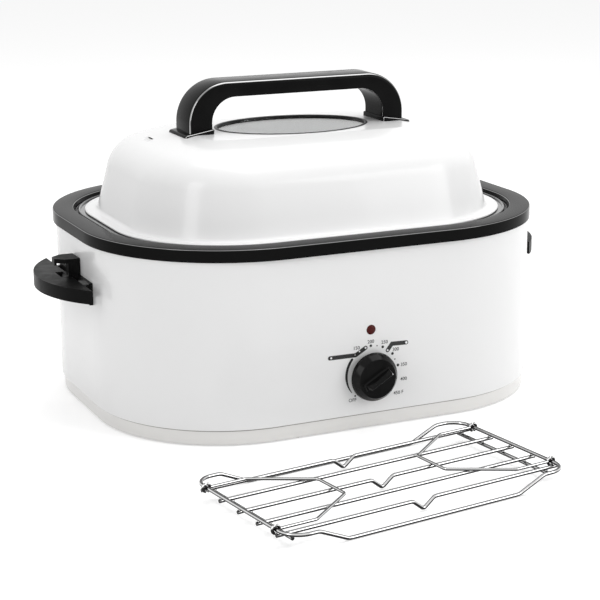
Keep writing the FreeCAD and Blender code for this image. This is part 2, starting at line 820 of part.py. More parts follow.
def element_clips():
    """Straps that hold the element against the well's wall."""
    inset = element_inset()
    half, deep = s.rim_length / 2 - inset, s.rim_width / 2 - inset
    near, side = s.seam_screw_x, s.seam_screw_y
    spots = [(-near, deep, 90), (near, deep, 90), (half, -side, 0), (-half, -side, 180),
             (-half, side, 180), (half, side, 0), (-near, -deep, -90), (near, -deep, -90)]
    members = []
    for number, (x, y, turn) in enumerate(spots, start=1):
        name = f"clip_{number}"
        half_width = s.clip_width / 2
        sleeve = cylinder(name + "_sleeve", "element_radius + clip_gauge", "clip_width",
                          (0, -half_width, 0), (0, 1, 0))
        bore = cylinder(name + "_bore", "element_radius", "clip_width", (0, -half_width, 0), (0, 1, 0))
        wall_side = block(name + "_wall_side", "element_radius * 1.1", "clip_width", "element_radius * 4",
                          (-2 * s.element_radius, -half_width, -2 * s.element_radius))
        space = fuse(name + "_space", [bore, wall_side])
        pieces = [cut(name + "_arch", sleeve, space)]
        for end, base in (("upper", s.element_radius * 0.72),
                          ("lower", -s.element_radius * 0.72 - s.clip_tab)):
            pieces.append(block(f"{name}_{end}_tab", "clip_gauge", "clip_width", "clip_tab",
                                (-s.element_radius, -half_width, base)))
        strap = fuse(name + "_strap", pieces)
        strap.Placement = FreeCAD.Placement(V(x, y, s.element_height), FreeCAD.Rotation(V(0, 0, 1), turn))
        members.append(strap)
    group("element_clips", members)


# ---------------------------------------------------------------- thermostat and knob

def thermostat():
    front, back = -s.thermostat_front, -s.thermostat_back
    body = new_body("thermostat_body")
    half = s.thermostat_width / 2
    tall = s.thermostat_height / 2
    case = draw(body, "thermostat_case", "XZ_Plane",
                rectangle(-half, s.knob_height - tall, half, s.knob_height + tall, 3),
                height="thermostat_back")
    pad(body, case, "thermostat_depth")
    neck = draw(body, "thermostat_neck", "XZ_Plane",
                [circle(0, s.knob_height, s.bushing_radius)], height="thermostat_front")
    pad(body, neck, "bracket_gauge + housing_gauge + 0.6")
    bore = draw(body, "shaft_bore", "XZ_Plane",
                [circle(0, s.knob_height, s.shaft_radius + s.shaft_clearance)],
                height="thermostat_back + thermostat_depth / 2")
    pocket(body, bore, "thermostat_depth", backwards=True)

    bracket = new_body("thermostat_bracket")
    long, high = s.bracket_length / 2, s.bracket_height / 2
    outline = rectangle(-long, s.knob_height - high, long, s.knob_height + high, 4)
    holes = [circle(0, s.knob_height, s.bushing_radius)]
    holes += [circle(x, s.knob_height, s.panel_screw_radius + s.thread_clearance)
              for x in (-s.bracket_screw_x, s.bracket_screw_x)]
    plate = draw(bracket, "bracket_plate", "XZ_Plane", outline + holes, height="thermostat_front")
    pad(bracket, plate, "bracket_gauge")

    sensor = cylinder("thermostat_sensor", "sensor_radius", "thermostat_back - well_front",
                      (0, back, s.knob_height), (0, 1, 0))
    sensor.Label = "thermostat_sensor"

    screws = [screw(f"thermostat_screw_{number}", "panel_screw_radius",
                    "housing_gauge + bracket_gauge", "panel_screw_radius * 1.9", "knob_standoff * 0.6",
                    (x, -s.front_wall, s.knob_height), (0, 1, 0))
              for number, x in enumerate((-s.bracket_screw_x, s.bracket_screw_x), start=1)]
    group("thermostat_screws", screws)


def knob():
    """The knob, its pointer mark and the shaft, built on the knob's axis."""
    place = FreeCAD.Placement(V(0, -s.knob_back, s.knob_height),
                              FreeCAD.Rotation(V(0, -1, 0), s.pointer_angle))
    body = new_body("control_knob")
    hub, front, face = s.knob_hub, s.knob_front, s.knob_face_depth
    section = rounded([(0, 0, 0), (0, s.knob_hub_radius, 0), (-hub, s.knob_hub_radius, 0),
                       (-hub, s.knob_radius, 0), (-front, s.knob_radius - 1.5, 1.5),
                       (-face, s.knob_face, 2), (-face, 0, 0)])
    profile = draw(body, "knob_section", "YZ_Plane", section)
    turned = body.newObject("PartDesign::Revolution", "knob_turned")
    turned.Profile = profile
    turned.ReferenceAxis = (profile, ["H_Axis"])
    turned.Angle = 360
    half = s.grip_bar_width / 2
    bar = draw(body, "grip_bar", "XZ_Plane",
               rectangle(-s.grip_bar_half, -half, s.grip_bar_half, half), height="knob_front")
    raised = pad(body, bar, "knob_depth + grip_bar_rise")
    bind(raised, "TaperAngle", "-grip_bar_draft")
    flat = s.shaft_radius
    edge = math.sqrt(flat ** 2 - s.shaft_flat ** 2)
    turn = math.degrees(math.atan2(s.shaft_flat, edge))
    bore = [Part.LineSegment(V(-edge, s.shaft_flat, 0), V(edge, s.shaft_flat, 0)),
            Part.ArcOfCircle(circle(0, 0, flat), math.radians(180 - turn), math.radians(360 + turn))]
    pocket(body, draw(body, "knob_bore", "XZ_Plane", bore), "shaft_in_knob", backwards=True)
    body.Placement = place

    mark = new_body("knob_pointer")
    slope = math.tan(math.radians(s.grip_bar_draft))
    low, high = s.knob_face_depth, s.knob_ridge
    low_end, high_end = (s.grip_bar_half - (depth - s.knob_front) * slope for depth in (low, high))
    proud = s.pointer_proud
    line = draw(mark, "pointer_line", "XY_Plane",
                rounded([(low_end, -low, 0), (high_end, -high, 0), (high_end + proud, -high, 0),
                         (low_end + proud, -low, 0)]))
    pad(mark, line, "pointer_width", midplane=True)
    mark.Placement = place

    shaft = new_body("thermostat_shaft")
    round_part = draw(shaft, "shaft_round", "XZ_Plane", [circle(0, 0, s.shaft_radius)])
    pad(shaft, round_part, "knob_back - thermostat_back - thermostat_depth / 2 - 1", backwards=True)
    pad(shaft, draw(shaft, "shaft_key", "XZ_Plane", bore), "shaft_in_knob")
    shaft.Placement = place


# ---------------------------------------------------------------- indicator lamp

def indicator():
    """A domed lens pushed through the front, a clip behind it and a bulb in its stem."""
    place = FreeCAD.Placement(V(0, -s.front_wall, s.lamp_height), FreeCAD.Rotation())
    lens = new_body("indicator_lens")
    stem, wall = s.lens_stem, s.lens_wall
    section = rounded([(-s.lens_dome, 0, 0), (0, 0, 0), (0, stem - wall, 0),
                       (s.lens_stem_length, stem - wall, 0), (s.lens_stem_length, stem, 0),
                       (0, stem, 0), (0, s.lens_radius, 0), (-s.lens_dome, s.lens_radius - 1, 1.2)])
    profile = draw(lens, "lens_section", "YZ_Plane", section)
    turned = lens.newObject("PartDesign::Revolution", "lens_turned")
    turned.Profile = profile
    turned.ReferenceAxis = (profile, ["H_Axis"])
    turned.Angle = 360
    lens.Placement = place

    bulb = cylinder("indicator_bulb", "lens_stem - lens_wall - thread_clearance", "bulb_length",
                    (0, -s.front_wall + s.bulb_seat, s.lamp_height), (0, 1, 0))
    bulb.Label = "indicator_bulb"

    clip = new_body("indicator_clip")
    ring = draw(clip, "clip_ring", "XZ_Plane",
                [circle(0, s.lamp_height, s.lamp_clip_radius), circle(0, s.lamp_height, s.lens_stem)],
                height="front_inside - lamp_clip_gauge")
    pad(clip, ring, "lamp_clip_gauge")


# ---------------------------------------------------------------- mains inlet and leads

def mains_inlet():
    """The bush for the mains lead, the terminal block behind it and the earth screw."""
    gland = new_body("cord_gland")
    flange = draw(gland, "gland_flange_ring", "XZ_Plane", [circle(0, s.gland_height, s.gland_flange)],
                  height="-front_wall - gland_gauge")
    pad(gland, flange, "gland_gauge")
    sleeve = draw(gland, "gland_sleeve", "XZ_Plane", [circle(0, s.gland_height, s.gland_radius)],
                  height="-front_wall")
    pad(gland, sleeve, "gland_length")
    bore = draw(gland, "gland_hole", "XZ_Plane", [circle(0, s.gland_height, s.gland_bore)])
    pocket(gland, bore, "rim_width")

    body = new_body("terminal_block")
    half, deep = s.block_length / 2, s.block_width / 2
    base = draw(body, "block_base", "XY_Plane",
                rectangle(-half, s.block_y - deep, half, s.block_y + deep, 2), height="cover_top")
    pad(body, base, "block_height")
    wells = [circle(x, s.block_y, s.way_radius) for x in block_ways()]
    pocket(body, draw(body, "block_wells", "XY_Plane", wells, height="cover_top + block_height"),
           "block_height * 0.4")

    earth = screw("earth_screw", "earth_screw_radius", "cover_gauge", "earth_screw_radius * 1.8",
                  "lead_radius * 2", (s.earth_screw_x, s.block_y, s.cover_top), (0, 0, -1))
    earth.Label = "earth_screw"


def block_ways():
    return [place * s.way_pitch for place in (-1, 0, 1)]


def internal_leads():
    """Insulated leads; each leaves its terminal straight and bends on tangent arcs."""
    left_way, middle_way, right_way = block_ways()
    block_front = s.block_y - s.block_width / 2
    way_height = s.cover_top + s.block_height / 2
    floor_run = way_height + s.lead_run
    case_bottom = s.knob_height - s.thermostat_height / 2
    case_top = s.knob_height + s.thermostat_height / 2
    case_y = -s.thermostat_back - 8
    case_half = s.thermostat_width / 2
    left_end, right_end = element_ends()
    pin_y = left_end[1] - (s.terminal_bead + s.terminal_length) / 2
    pin_bottom = s.element_height - s.lead_radius
    drop = case_bottom - 2 * s.tight_bend - 1
    earth_height = s.cover_top + 3 * s.lead_radius
    routes = {
        "lead_live": [
            (left_way, block_front, way_height), (left_way, block_front - s.live_exit, way_height),
            (s.live_side, case_y / 2, floor_run), (s.live_side, case_y, floor_run),
            (s.live_side, case_y, case_bottom)],
        "lead_neutral": [
            (middle_way, block_front, way_height), (middle_way, block_front - s.neutral_exit, way_height),
            (s.neutral_side, block_front / 3, floor_run), (s.neutral_side, pin_y * 0.7, floor_run),
            (right_end[0], pin_y, floor_run + 4 * s.lead_radius), (right_end[0], pin_y, pin_bottom)],
        "lead_switched": [
            (-case_half + 8, pin_y, case_bottom), (-case_half + 8, pin_y, drop),
            (left_end[0], pin_y, drop), (left_end[0], pin_y, pin_bottom)],
        "lead_earth": [
            (right_way, block_front, earth_height), (right_way, block_front - s.earth_exit, earth_height),
            (s.earth_screw_x, block_front - s.earth_exit, earth_height),
            (s.earth_screw_x, s.block_y + s.lead_radius, earth_height)],
    }
    bends = {"lead_switched": s.tight_bend, "lead_earth": s.tight_bend}
    for name, points in routes.items():
        bend = bends.get(name, s.lead_bend)
        shape_node(name, tube_shape(bent_path([(*point, bend) for point in points]), s.lead_radius))

    bulb_end = -s.front_wall + s.bulb_seat + s.bulb_length
    lamp_leads = []
    for word, side in (("left", -1), ("right", 1)):
        points = [(side * 1.4, bulb_end, s.lamp_height), (side * 1.4, case_y + 7, s.lamp_height),
                  (side * 7, case_y, s.lamp_height - 20), (side * 7, case_y, case_top)]
        path = bent_path([(*point, 3.5) for point in points])
        lamp_leads.append(shape_node(f"lamp_lead_{word}", tube_shape(path, s.lamp_lead_radius)))
    group("lamp_leads", lamp_leads)


# ---------------------------------------------------------------- side handles

def side_handle(name, side):
    """A half-moon grip with a turned-down rim, a wall flange and a rest for the lid."""
    body = new_body(name)
    wall = s.housing_half
    outer = wall + s.grip_reach
    chord = wall + s.grip_slot

    flat = s.flange_half
    flange = rectangle(wall, -flat, wall + s.flange_gauge, flat)
    pad(body, draw(body, name + "_flange", "XY_Plane", flange,
                   height="grip_top - grip_rim - flange_drop"),
        "grip_rim + flange_drop + flange_rise")

    half_moon = [Part.LineSegment(V(chord, s.grip_half, 0), V(chord, -s.grip_half, 0)),
                 Part.Arc(V(chord, -s.grip_half, 0), V(outer, 0, 0), V(chord, s.grip_half, 0))]
    grip = draw(body, name + "_grip", "XY_Plane", half_moon, height="grip_top - grip_rim")
    pad(body, grip, "grip_rim")
    inner_half = s.grip_half - s.grip_end + 1
    hollow = [Part.LineSegment(V(chord - 1, inner_half, 0), V(chord - 1, -inner_half, 0)),
              Part.Arc(V(chord - 1, -inner_half, 0), V(outer - s.grip_wall, 0, 0),
                       V(chord - 1, inner_half, 0))]
    under = draw(body, name + "_hollow", "XY_Plane", hollow, height="grip_top - grip_wall")
    pocket(body, under, "rim_top")

    struts = []
    for sign in (-1, 1):
        low, high = sorted((sign * (flat - s.strut_width), sign * flat))
        struts += rectangle(wall + 1, low, chord + s.strut_width, high)
    pad(body, draw(body, name + "_struts", "XY_Plane", struts, height="grip_top - grip_rim"),
        "strut_rise")

    post = rectangle(wall + 1, -s.post_width / 2, wall + 1 + s.post_depth, s.post_width / 2, 1.5)
    pad(body, draw(body, name + "_post", "XY_Plane", post, height="grip_top"), "post_rise")
    foot = rectangle(wall + 1, -s.post_width / 2, chord + 3, s.post_width / 2)
    pad(body, draw(body, name + "_post_foot", "XY_Plane", foot, height="grip_top - grip_wall * 2"),
        "grip_wall * 2")
    tip = s.post_width / 5
    roof = rounded([(wall + 1, -s.post_width / 2, 1), (wall + s.roof_reach * 0.6, -s.post_width / 2, 4),
                    (wall + s.roof_reach, -tip, 3), (wall + s.roof_reach, tip, 3),
                    (wall + s.roof_reach * 0.6, s.post_width / 2, 4), (wall + 1, s.post_width / 2, 1)])
    pad(body, draw(body, name + "_roof", "XY_Plane", roof, height="grip_top + post_rise - roof_gauge"),
        "roof_gauge")
    edge = rectangle(wall + s.roof_reach - s.roof_tip, 0.5 - tip, wall + s.roof_reach - 0.2, tip - 0.5)
    pad(body, draw(body, name + "_roof_edge", "XY_Plane", edge,
                   height="grip_top + post_rise - roof_gauge - roof_tip"), "roof_tip + roof_gauge / 2")
    rib = rectangle(wall + s.post_depth, s.post_width / 2 - s.rib_width, chord + 4, s.post_width / 2)
    pad(body, draw(body, name + "_rib", "XY_Plane", rib, height="grip_top - grip_wall"),
        "post_rise + grip_wall - roof_gauge")
    slot = rectangle(wall + s.slot_near, -s.post_width / 2, wall + s.slot_far,
                     s.post_width / 2 - s.rib_width - 0.5, 1)
    pocket(body, draw(body, name + "_slot", "XY_Plane", slot, height="grip_top"), "grip_wall * 1.5")
    holes = [circle(y, s.side_screw_z, s.panel_screw_radius) for y in (-s.side_screw_y, s.side_screw_y)]
    pocket(body, draw(body, name + "_screw_holes", "YZ_Plane", holes, height="housing_half"),
           "flange_gauge", backwards=True)
    body.Placement = FreeCAD.Placement(V(0, 0, 0), FreeCAD.Rotation(V(0, 0, 1), 0 if side > 0 else 180))


def side_fasteners(word, side):
    inside = s.housing_half - s.housing_gauge
    plate = block(f"side_handle_plate_{word}", "backplate_gauge", "backplate_half * 2",
                  "backplate_height", (0, 0, 0))
    plate.Placement = FreeCAD.Placement(
        V(side * inside - (s.backplate_gauge if side > 0 else 0), -s.backplate_half,
          s.side_screw_z - s.backplate_height / 2), FreeCAD.Rotation())
    drills = [cylinder(f"plate_{word}_drill_{n}", "panel_screw_radius + thread_clearance",
                       "backplate_gauge * 3", (side * (inside - 3), y, s.side_screw_z), (side, 0, 0))
              for n, y in enumerate((-s.side_screw_y, s.side_screw_y))]
    drilled = cut(f"side_handle_backplate_{word}", plate, fuse(f"plate_{word}_drills", drills))
    drilled.Label = f"side_handle_backplate_{word}"
    seat = side * (inside - s.backplate_gauge)
    members = [screw(f"side_screw_{word}_{n}", "panel_screw_radius",
                     "backplate_gauge + housing_gauge + flange_gauge",
                     "panel_screw_radius * 2", "2", (seat, y, s.side_screw_z), (side, 0, 0))
               for n, y in enumerate((-s.side_screw_y, s.side_screw_y))]
    group(f"side_handle_screws_{word}", members)


# ---------------------------------------------------------------- roasting pan

def roasting_pan():
    body = new_body("roasting_pan")
    floor_inset = s.pan_mouth_inset + s.pan_draft + 2 * s.pan_corner
    sheet_ring(body, "pan_wall", [
        (s.pan_flange_inset + s.pan_bead, s.pan_flange_top, 0),
        (s.pan_mouth_inset, s.pan_flange_top, 6),
        (s.pan_mouth_inset + s.pan_draft, s.pan_floor, s.pan_corner),
        (floor_inset, s.pan_floor, 0),
    ], s.pan_gauge, s.rim_corner)
    bead_y = s.pan_flange_inset + s.pan_bead - s.rim_width / 2
    sweep_ring(body, "pan_rolled_edge", [circle(bead_y, s.pan_flange_bottom + s.pan_bead, s.pan_bead)],
               s.rim_corner)
    floor_plate(body, "pan_floor_plate", floor_inset - 1, s.rim_corner - floor_inset + 1,
                "pan_floor - pan_gauge", "pan_gauge")


# ---------------------------------------------------------------- lid

def lid_shell():
    body = new_body("lid_shell")
    bead_height = s.brim_bottom + s.brim_bead
    brim_top = bead_height + s.lid_gauge / 2
    overlap = s.panel_inset + 12
    sheet_ring(body, "lid_wall", [
        (s.brim_inset + s.brim_bead, brim_top, 0),
        (s.lid_foot_inset, brim_top, s.foot_bend),
        (s.shoulder_inset, s.shoulder_height, s.shoulder_radius),
        (s.crown_inset, s.crown_height, s.crown_radius),
        (s.panel_inset, s.panel_height, s.panel_radius),
        (overlap, s.panel_height, 0),
    ], s.lid_gauge, s.rim_corner)
    bead_y = s.brim_inset + s.brim_bead - s.rim_width / 2
    sweep_ring(body, "brim_edge", [circle(bead_y, bead_height, s.brim_bead)], s.rim_corner)
    floor_plate(body, "lid_panel", overlap - 1, s.rim_corner - overlap + 1, "panel_bottom", "lid_gauge")
    hole = draw(body, "window_hole", "XY_Plane", [ellipse(s.window_half_length, s.window_half_width)])
    pocket(body, hole, "handle_top", backwards=True)
    drill = [circle(x, 0, s.handle_screw_radius + s.thread_clearance)
             for x in (-s.handle_screw_x, s.handle_screw_x)]
    pocket(body, draw(body, "handle_holes", "XY_Plane", drill), "handle_top", backwards=True)
    vent = rectangle(-s.vent_x - s.vent_width / 2, s.vent_y - s.vent_length / 2,
                     -s.vent_x + s.vent_width / 2, s.vent_y + s.vent_length / 2, 1.2)
    pocket(body, draw(body, "vent_slot", "XY_Plane", vent), "handle_top", backwards=True)


def lid_window():
    a, b = s.window_half_length, s.window_half_width
    gasket = new_body("lid_window_gasket")
    wall, flange = s.gasket_wall, s.gasket_flange
    ring = draw(gasket, "gasket_ring", "XY_Plane", [ellipse(a, b), ellipse(a - wall, b - wall)],
                height="gasket_floor")
    pad(gasket, ring, "gasket_depth")
    rim = draw(gasket, "gasket_rim", "XY_Plane",
               [ellipse(a + flange, b + flange), ellipse(a - wall, b - wall)], height="retainer_top")
    pad(gasket, rim, "gasket_flange_height")
    bite = a - wall + s.glass_bite, b - wall + s.glass_bite
    groove = draw(gasket, "glass_groove", "XY_Plane", [ellipse(*bite)],
                  height="glass_bottom")
    pocket(gasket, groove, "glass_thickness", backwards=True)

    glass = new_body("lid_window_glass")
    disc = draw(glass, "glass_disc", "XY_Plane", [ellipse(*bite)], height="glass_bottom")
    pad(glass, disc, "glass_thickness")

    retainer = new_body("lid_window_retainer")
    plate = draw(retainer, "retainer_ring", "XY_Plane",
                 [ellipse(a + flange + 2, b + flange + 2), ellipse(a + 0.6, b + 0.6)],
                 height="retainer_top - retainer_gauge")
    pad(retainer, plate, "retainer_gauge")


def lid_handle():
    """A round-cornered U of moulded plastic with its edges rounded over."""
    bar = new_body("lid_handle_bar")
    half, inner = s.handle_half, s.handle_inner_half
    outline = rounded([(-half, s.foot_plate_low, 0), (-inner, s.foot_plate_top, 0),
                       (-inner, s.bar_bottom, s.handle_inner_round),
                       (inner, s.bar_bottom, s.handle_inner_round), (inner, s.foot_plate_top, 0),
                       (half, s.foot_plate_low, 0), (half, s.handle_top, s.handle_outer_round),
                       (-half, s.handle_top, s.handle_outer_round)])
    pad(bar, draw(bar, "handle_outline", "XZ_Plane", outline), "handle_depth", midplane=True)
    bores = [circle(x, 0, s.handle_screw_radius) for x in (-s.handle_screw_x, s.handle_screw_x)]
    bore = draw(bar, "handle_bores", "XY_Plane", bores, height="foot_plate_low")
    pocket(bar, bore, "handle_screw_length", backwards=True)
    doc.recompute()
    last = bar.Tip
    long_edges = [f"Edge{i + 1}" for i, e in enumerate(last.Shape.Edges) if on_outer_edge(e)]
    rounding = bar.newObject("PartDesign::Fillet", "handle_rounding")
    rounding.Base = (last, long_edges)
    bind(rounding, "Radius", "handle_edge")


def on_outer_edge(edge):
    """True for the edges that run along the handle's outside, front and back."""
    middle = edge.valueAt((edge.FirstParameter + edge.LastParameter) / 2)
    if abs(abs(middle.y) - s.handle_depth / 2) > 1e-3:
        return False
    half = s.handle_half
    on_side = abs(abs(middle.x) - half) < 1e-3 and middle.z > s.foot_plate_low + 1
    on_top = abs(middle.z - s.handle_top) < 1e-3
    turn_x = abs(middle.x) - (half - s.handle_outer_round)
    turn_z = middle.z - (s.handle_top - s.handle_outer_round)
    on_round = turn_x > 0 and turn_z > 0 and abs(math.hypot(turn_x, turn_z) - s.handle_outer_round) < 0.1
    return on_side or on_top or on_round


def lid_handle_foot(name, side):
    """The flanged foot between a handle leg and the sloping crown."""
    body = new_body(name)
    inner = s.handle_inner_half - s.foot_inner_margin
    outer = s.handle_half + s.foot_outer_margin
    border = outer - s.foot_outer_margin / 2
    low = s.panel_height - s.panel_rise / s.panel_run * (outer - s.panel_half)

    def plate(x):
        return s.foot_plate_top - s.foot_plate_fall / s.handle_leg * (x - s.handle_inner_half)

    outline = [(inner, s.panel_height, 0), (s.panel_half, s.panel_height, 0), (outer, low, 0),
               (outer, plate(border) - s.foot_plate_lip, 0), (border, plate(border), 0),
               (inner, plate(inner), 0)]
    if side < 0:
        outline = [(-x, z, r) for x, z, r in outline[::-1]]
    pad(body, draw(body, name + "_block", "XZ_Plane", rounded(outline)),
        "handle_depth + 2 * foot_plate_margin", midplane=True)
    hole = [circle(side * s.handle_screw_x, 0, s.handle_screw_radius + s.thread_clearance)]
    pocket(body, draw(body, name + "_hole", "XY_Plane", hole), "handle_top", backwards=True)
    doc.recompute()
    last = body.Tip
    depth = s.handle_depth / 2 + s.foot_plate_margin
    uprights = []
    for i, e in enumerate(last.Shape.Edges):
        ends = [v.Point for v in e.Vertexes]
        if len(ends) == 2 and abs(ends[0].z - ends[1].z) > 1 and \
                all(abs(abs(p.y) - depth) < 1e-3 for p in ends) and abs(ends[0].x - ends[1].x) < 1e-3:
            uprights.append(f"Edge{i + 1}")
    rounding = body.newObject("PartDesign::Fillet", name + "_corners")
    rounding.Base = (last, uprights)
    bind(rounding, "Radius", "foot_plate_margin * 0.5")


def lid_fasteners():
    washers, screws = [], []
    for word, x in (("left", -s.handle_screw_x), ("right", s.handle_screw_x)):
        disc = cylinder(f"washer_{word}_disc", "washer_radius", "washer_gauge",
                        (x, 0, s.panel_bottom - s.washer_gauge), (0, 0, 1))
        hole = cylinder(f"washer_{word}_hole", "handle_screw_radius + thread_clearance",
                        "washer_gauge * 3", (x, 0, s.panel_bottom - 2 * s.washer_gauge), (0, 0, 1))
        washers.append(cut(f"washer_{word}", disc, hole))
        screws.append(screw(f"handle_screw_{word}", "handle_screw_radius",
                            "handle_screw_length", "screw_head_radius", "screw_head_height",
                            (x, 0, s.panel_bottom - s.washer_gauge), (0, 0, 1)))
    group("lid_handle_washers", washers)
    group("lid_handle_screws", screws)


# ---------------------------------------------------------------- rack

def rack_placement():
    return FreeCAD.Placement(V(s.rack_x, s.rack_y, 0), FreeCAD.Rotation(V(0, 0, 1), s.rack_turn))


def rack_frame():
    """The outer loop: raised end bars, long sides bent down to the table as feet."""
    half, wide, corner = s.rack_length / 2, s.rack_width / 2, s.rack_corner
    high, low = s.rack_height, s.rack_wire
    foot = half - s.rack_foot_run
    ramp = foot + s.rack_ramp
    bend = s.rack_bend
    points = [(0, -wide, low, 0)]
    points += [(foot, -wide, low, bend), (ramp, -wide, high, bend), (half, -wide, high, corner)]
    points += [(half, wide, high, corner), (ramp, wide, high, bend), (foot, wide, low, bend)]
    points += [(-foot, wide, low, bend), (-ramp, wide, high, bend), (-half, wide, high, corner)]
    points += [(-half, -wide, high, corner), (-ramp, -wide, high, bend), (-foot, -wide, low, bend)]
    points += [(0, -wide, low, 0)]
    shape_node("rack_frame", tube_shape(bent_path(points), s.rack_wire), rack_placement())


def rod_half():
    return s.rack_length / 2 + s.rod_overhang


def rack_rods():
    turned = rack_placement()
    straight = []
    for number, place in enumerate((-1, 1), start=1):
        rod = cylinder(f"straight_rod_{number}", "rack_wire", "rack_length + 2 * rod_overhang",
                       (-rod_half(), place * s.rod_spacing, s.rod_height), (1, 0, 0))
        straight.append(rod)
    node = group("rack_straight_rods", straight)
    node.Placement = turned

    dipped = []
    for number, place in enumerate((-2, 0, 2), start=1):
        y = place * s.rod_spacing
        low = s.rack_wire + s.dip_clearance
        wide = s.dip_width / 2
        half = rod_half()
        path = bent_path([(-half, y, s.rod_height, 0), (-wide, y, s.rod_height, 8), (0, y, low, 4),
                          (wide, y, s.rod_height, 8), (half, y, s.rod_height, 0)])
        dipped.append(shape_node(f"dipped_rod_{number}", tube_shape(path, s.rack_wire)))
    node = group("rack_dipped_rods", dipped)
    node.Placement = turned

    cross = []
    for number, side in enumerate((-1, 1), start=1):
        rod = cylinder(f"cross_rod_{number}", "rack_wire", "rod_spacing * 4 + rod_overhang * 4",
                       (side * (s.rack_length / 2 - s.cross_rod_inset),
                        -2 * s.rod_spacing - 2 * s.rod_overhang, s.cross_height), (0, 1, 0))
        cross.append(rod)
    node = group("rack_cross_rods", cross)
    node.Placement = turned


def rack_bail(name, side):
    """A six-sided wire bail whose two eyes turn on the rack's end bar."""
    axis_x = side * s.rack_length / 2
    z = s.rack_height
    ring = s.rack_wire + s.bail_clearance + s.bail_wire
    inward = -side
    half, tip = s.bail_half, s.bail_tip
    near, bend_x, far = (axis_x + inward * run for run in (ring, s.bail_leg, s.bail_reach))
    bend = s.bail_bend
    points = [(near, -half, z, 0), (bend_x, -half, z, bend), (far, -tip, z, bend),
              (far, tip, z, bend), (bend_x, half, z, bend), (near, half, z, 0)]
    loop = tube_shape(bent_path(points), s.bail_wire)
    eyes = [Part.makeTorus(ring, s.bail_wire, V(axis_x, y, z), V(0, 1, 0)) for y in (-half, half)]
    shape_node(name, loop.fuse(eyes), rack_placement())


# ---------------------------------------------------------------- build and write

def check(nodes):
    for thing in doc.Objects:
        if "Invalid" in thing.State or "Error" in thing.State:
            raise RuntimeError(f"{thing.Name} failed: {thing.State}")
    for node in nodes:
        shape = node.Shape
        if shape.isNull() or not shape.isValid() or not shape.Solids:
            raise RuntimeError(f"{node.Label} has no valid solid")


nodes = [
    "outer_housing", "base_skirt", "bottom_cover", "feet", "cover_screws", "rim_collar",
    "cooking_well", "heat_shield", "insulation_blanket", "heating_element", "element_terminals",
    "element_clips", "tie_studs", "tie_nuts", "seam_screws", "thermostat_body",
    "thermostat_bracket", "thermostat_sensor",
    "thermostat_screws", "thermostat_shaft", "control_knob", "knob_pointer",
    "indicator_lens", "indicator_bulb", "indicator_clip", "terminal_block", "earth_screw",
    "cord_gland", "lead_live", "lead_neutral", "lead_switched", "lead_earth", "lamp_leads",
    "side_handle_left", "side_handle_right", "side_handle_backplate_left",
    "side_handle_backplate_right", "side_handle_screws_left", "side_handle_screws_right",
    "roasting_pan", "lid_shell", "lid_window_glass", "lid_window_gasket", "lid_window_retainer",
    "lid_handle_bar", "lid_handle_foot_left", "lid_handle_foot_right", "lid_handle_screws",
    "lid_handle_washers", "rack_frame", "rack_straight_rods", "rack_dipped_rods",
    "rack_cross_rods", "rack_bail_left", "rack_bail_right",
]


def main():
    outer_housing()
    base_skirt()
    bottom_cover()
    feet()
    cover_screws()
    seam_screws()
    rim_collar()
    cooking_well()
    heat_shield()
    insulation_blanket()
    heating_element()
    element_terminals()
    element_clips()
    tie_studs()
    thermostat()
    knob()
    indicator()
    mains_inlet()
    internal_leads()
    side_handle("side_handle_left", -1)
    side_handle("side_handle_right", 1)
    side_fasteners("left", -1)
    side_fasteners("right", 1)
    roasting_pan()
    lid_shell()
    lid_window()
    lid_handle()
    lid_handle_foot("lid_handle_foot_left", -1)
    lid_handle_foot("lid_handle_foot_right", 1)
    lid_fasteners()
    rack_frame()
    rack_rods()
    rack_bail("rack_bail_left", -1)
    rack_bail("rack_bail_right", 1)
    doc.recompute()
    kept = [doc.getObjectsByLabel(name)[0] for name in nodes]
    check(kept)
    os.makedirs("parts", exist_ok=True)
    for node in kept:
        node.Shape.exportStep(f"parts/{node.Label}.step")
        box = node.Shape.BoundBox
        print(f"{node.Label:30s} {len(node.Shape.Solids)} solids {node.Shape.Volume / 1000:9.2f} cm3  "
              f"x {box.XMin:.1f}..{box.XMax:.1f} y {box.YMin:.1f}..{box.YMax:.1f} "
              f"z {box.ZMin:.1f}..{box.ZMax:.1f}")


main()
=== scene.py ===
import json
import math

import bpy
from mathutils import Matrix, Vector


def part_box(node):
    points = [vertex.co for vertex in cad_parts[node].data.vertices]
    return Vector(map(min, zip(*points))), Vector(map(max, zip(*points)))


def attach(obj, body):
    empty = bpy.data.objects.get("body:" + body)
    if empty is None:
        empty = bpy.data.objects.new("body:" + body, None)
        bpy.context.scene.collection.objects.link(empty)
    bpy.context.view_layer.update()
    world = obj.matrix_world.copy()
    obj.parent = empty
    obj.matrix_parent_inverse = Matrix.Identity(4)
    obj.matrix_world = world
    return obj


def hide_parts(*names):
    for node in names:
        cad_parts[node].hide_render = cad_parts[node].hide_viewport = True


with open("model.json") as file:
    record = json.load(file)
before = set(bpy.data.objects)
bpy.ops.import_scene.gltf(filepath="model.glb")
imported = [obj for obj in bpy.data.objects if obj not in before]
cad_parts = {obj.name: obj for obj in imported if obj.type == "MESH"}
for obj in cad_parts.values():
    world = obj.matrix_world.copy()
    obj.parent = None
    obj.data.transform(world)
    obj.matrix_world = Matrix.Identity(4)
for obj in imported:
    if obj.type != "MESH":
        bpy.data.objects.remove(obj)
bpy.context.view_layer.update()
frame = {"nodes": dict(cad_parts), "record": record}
mm = 0.001  # the pieces and the floor are given in millimetres, the rest in metres
print("frame loaded:", len(frame["nodes"]), "nodes")


def circleAngles(sides):
    return [2 * math.pi * k / sides for k in range(sides)]


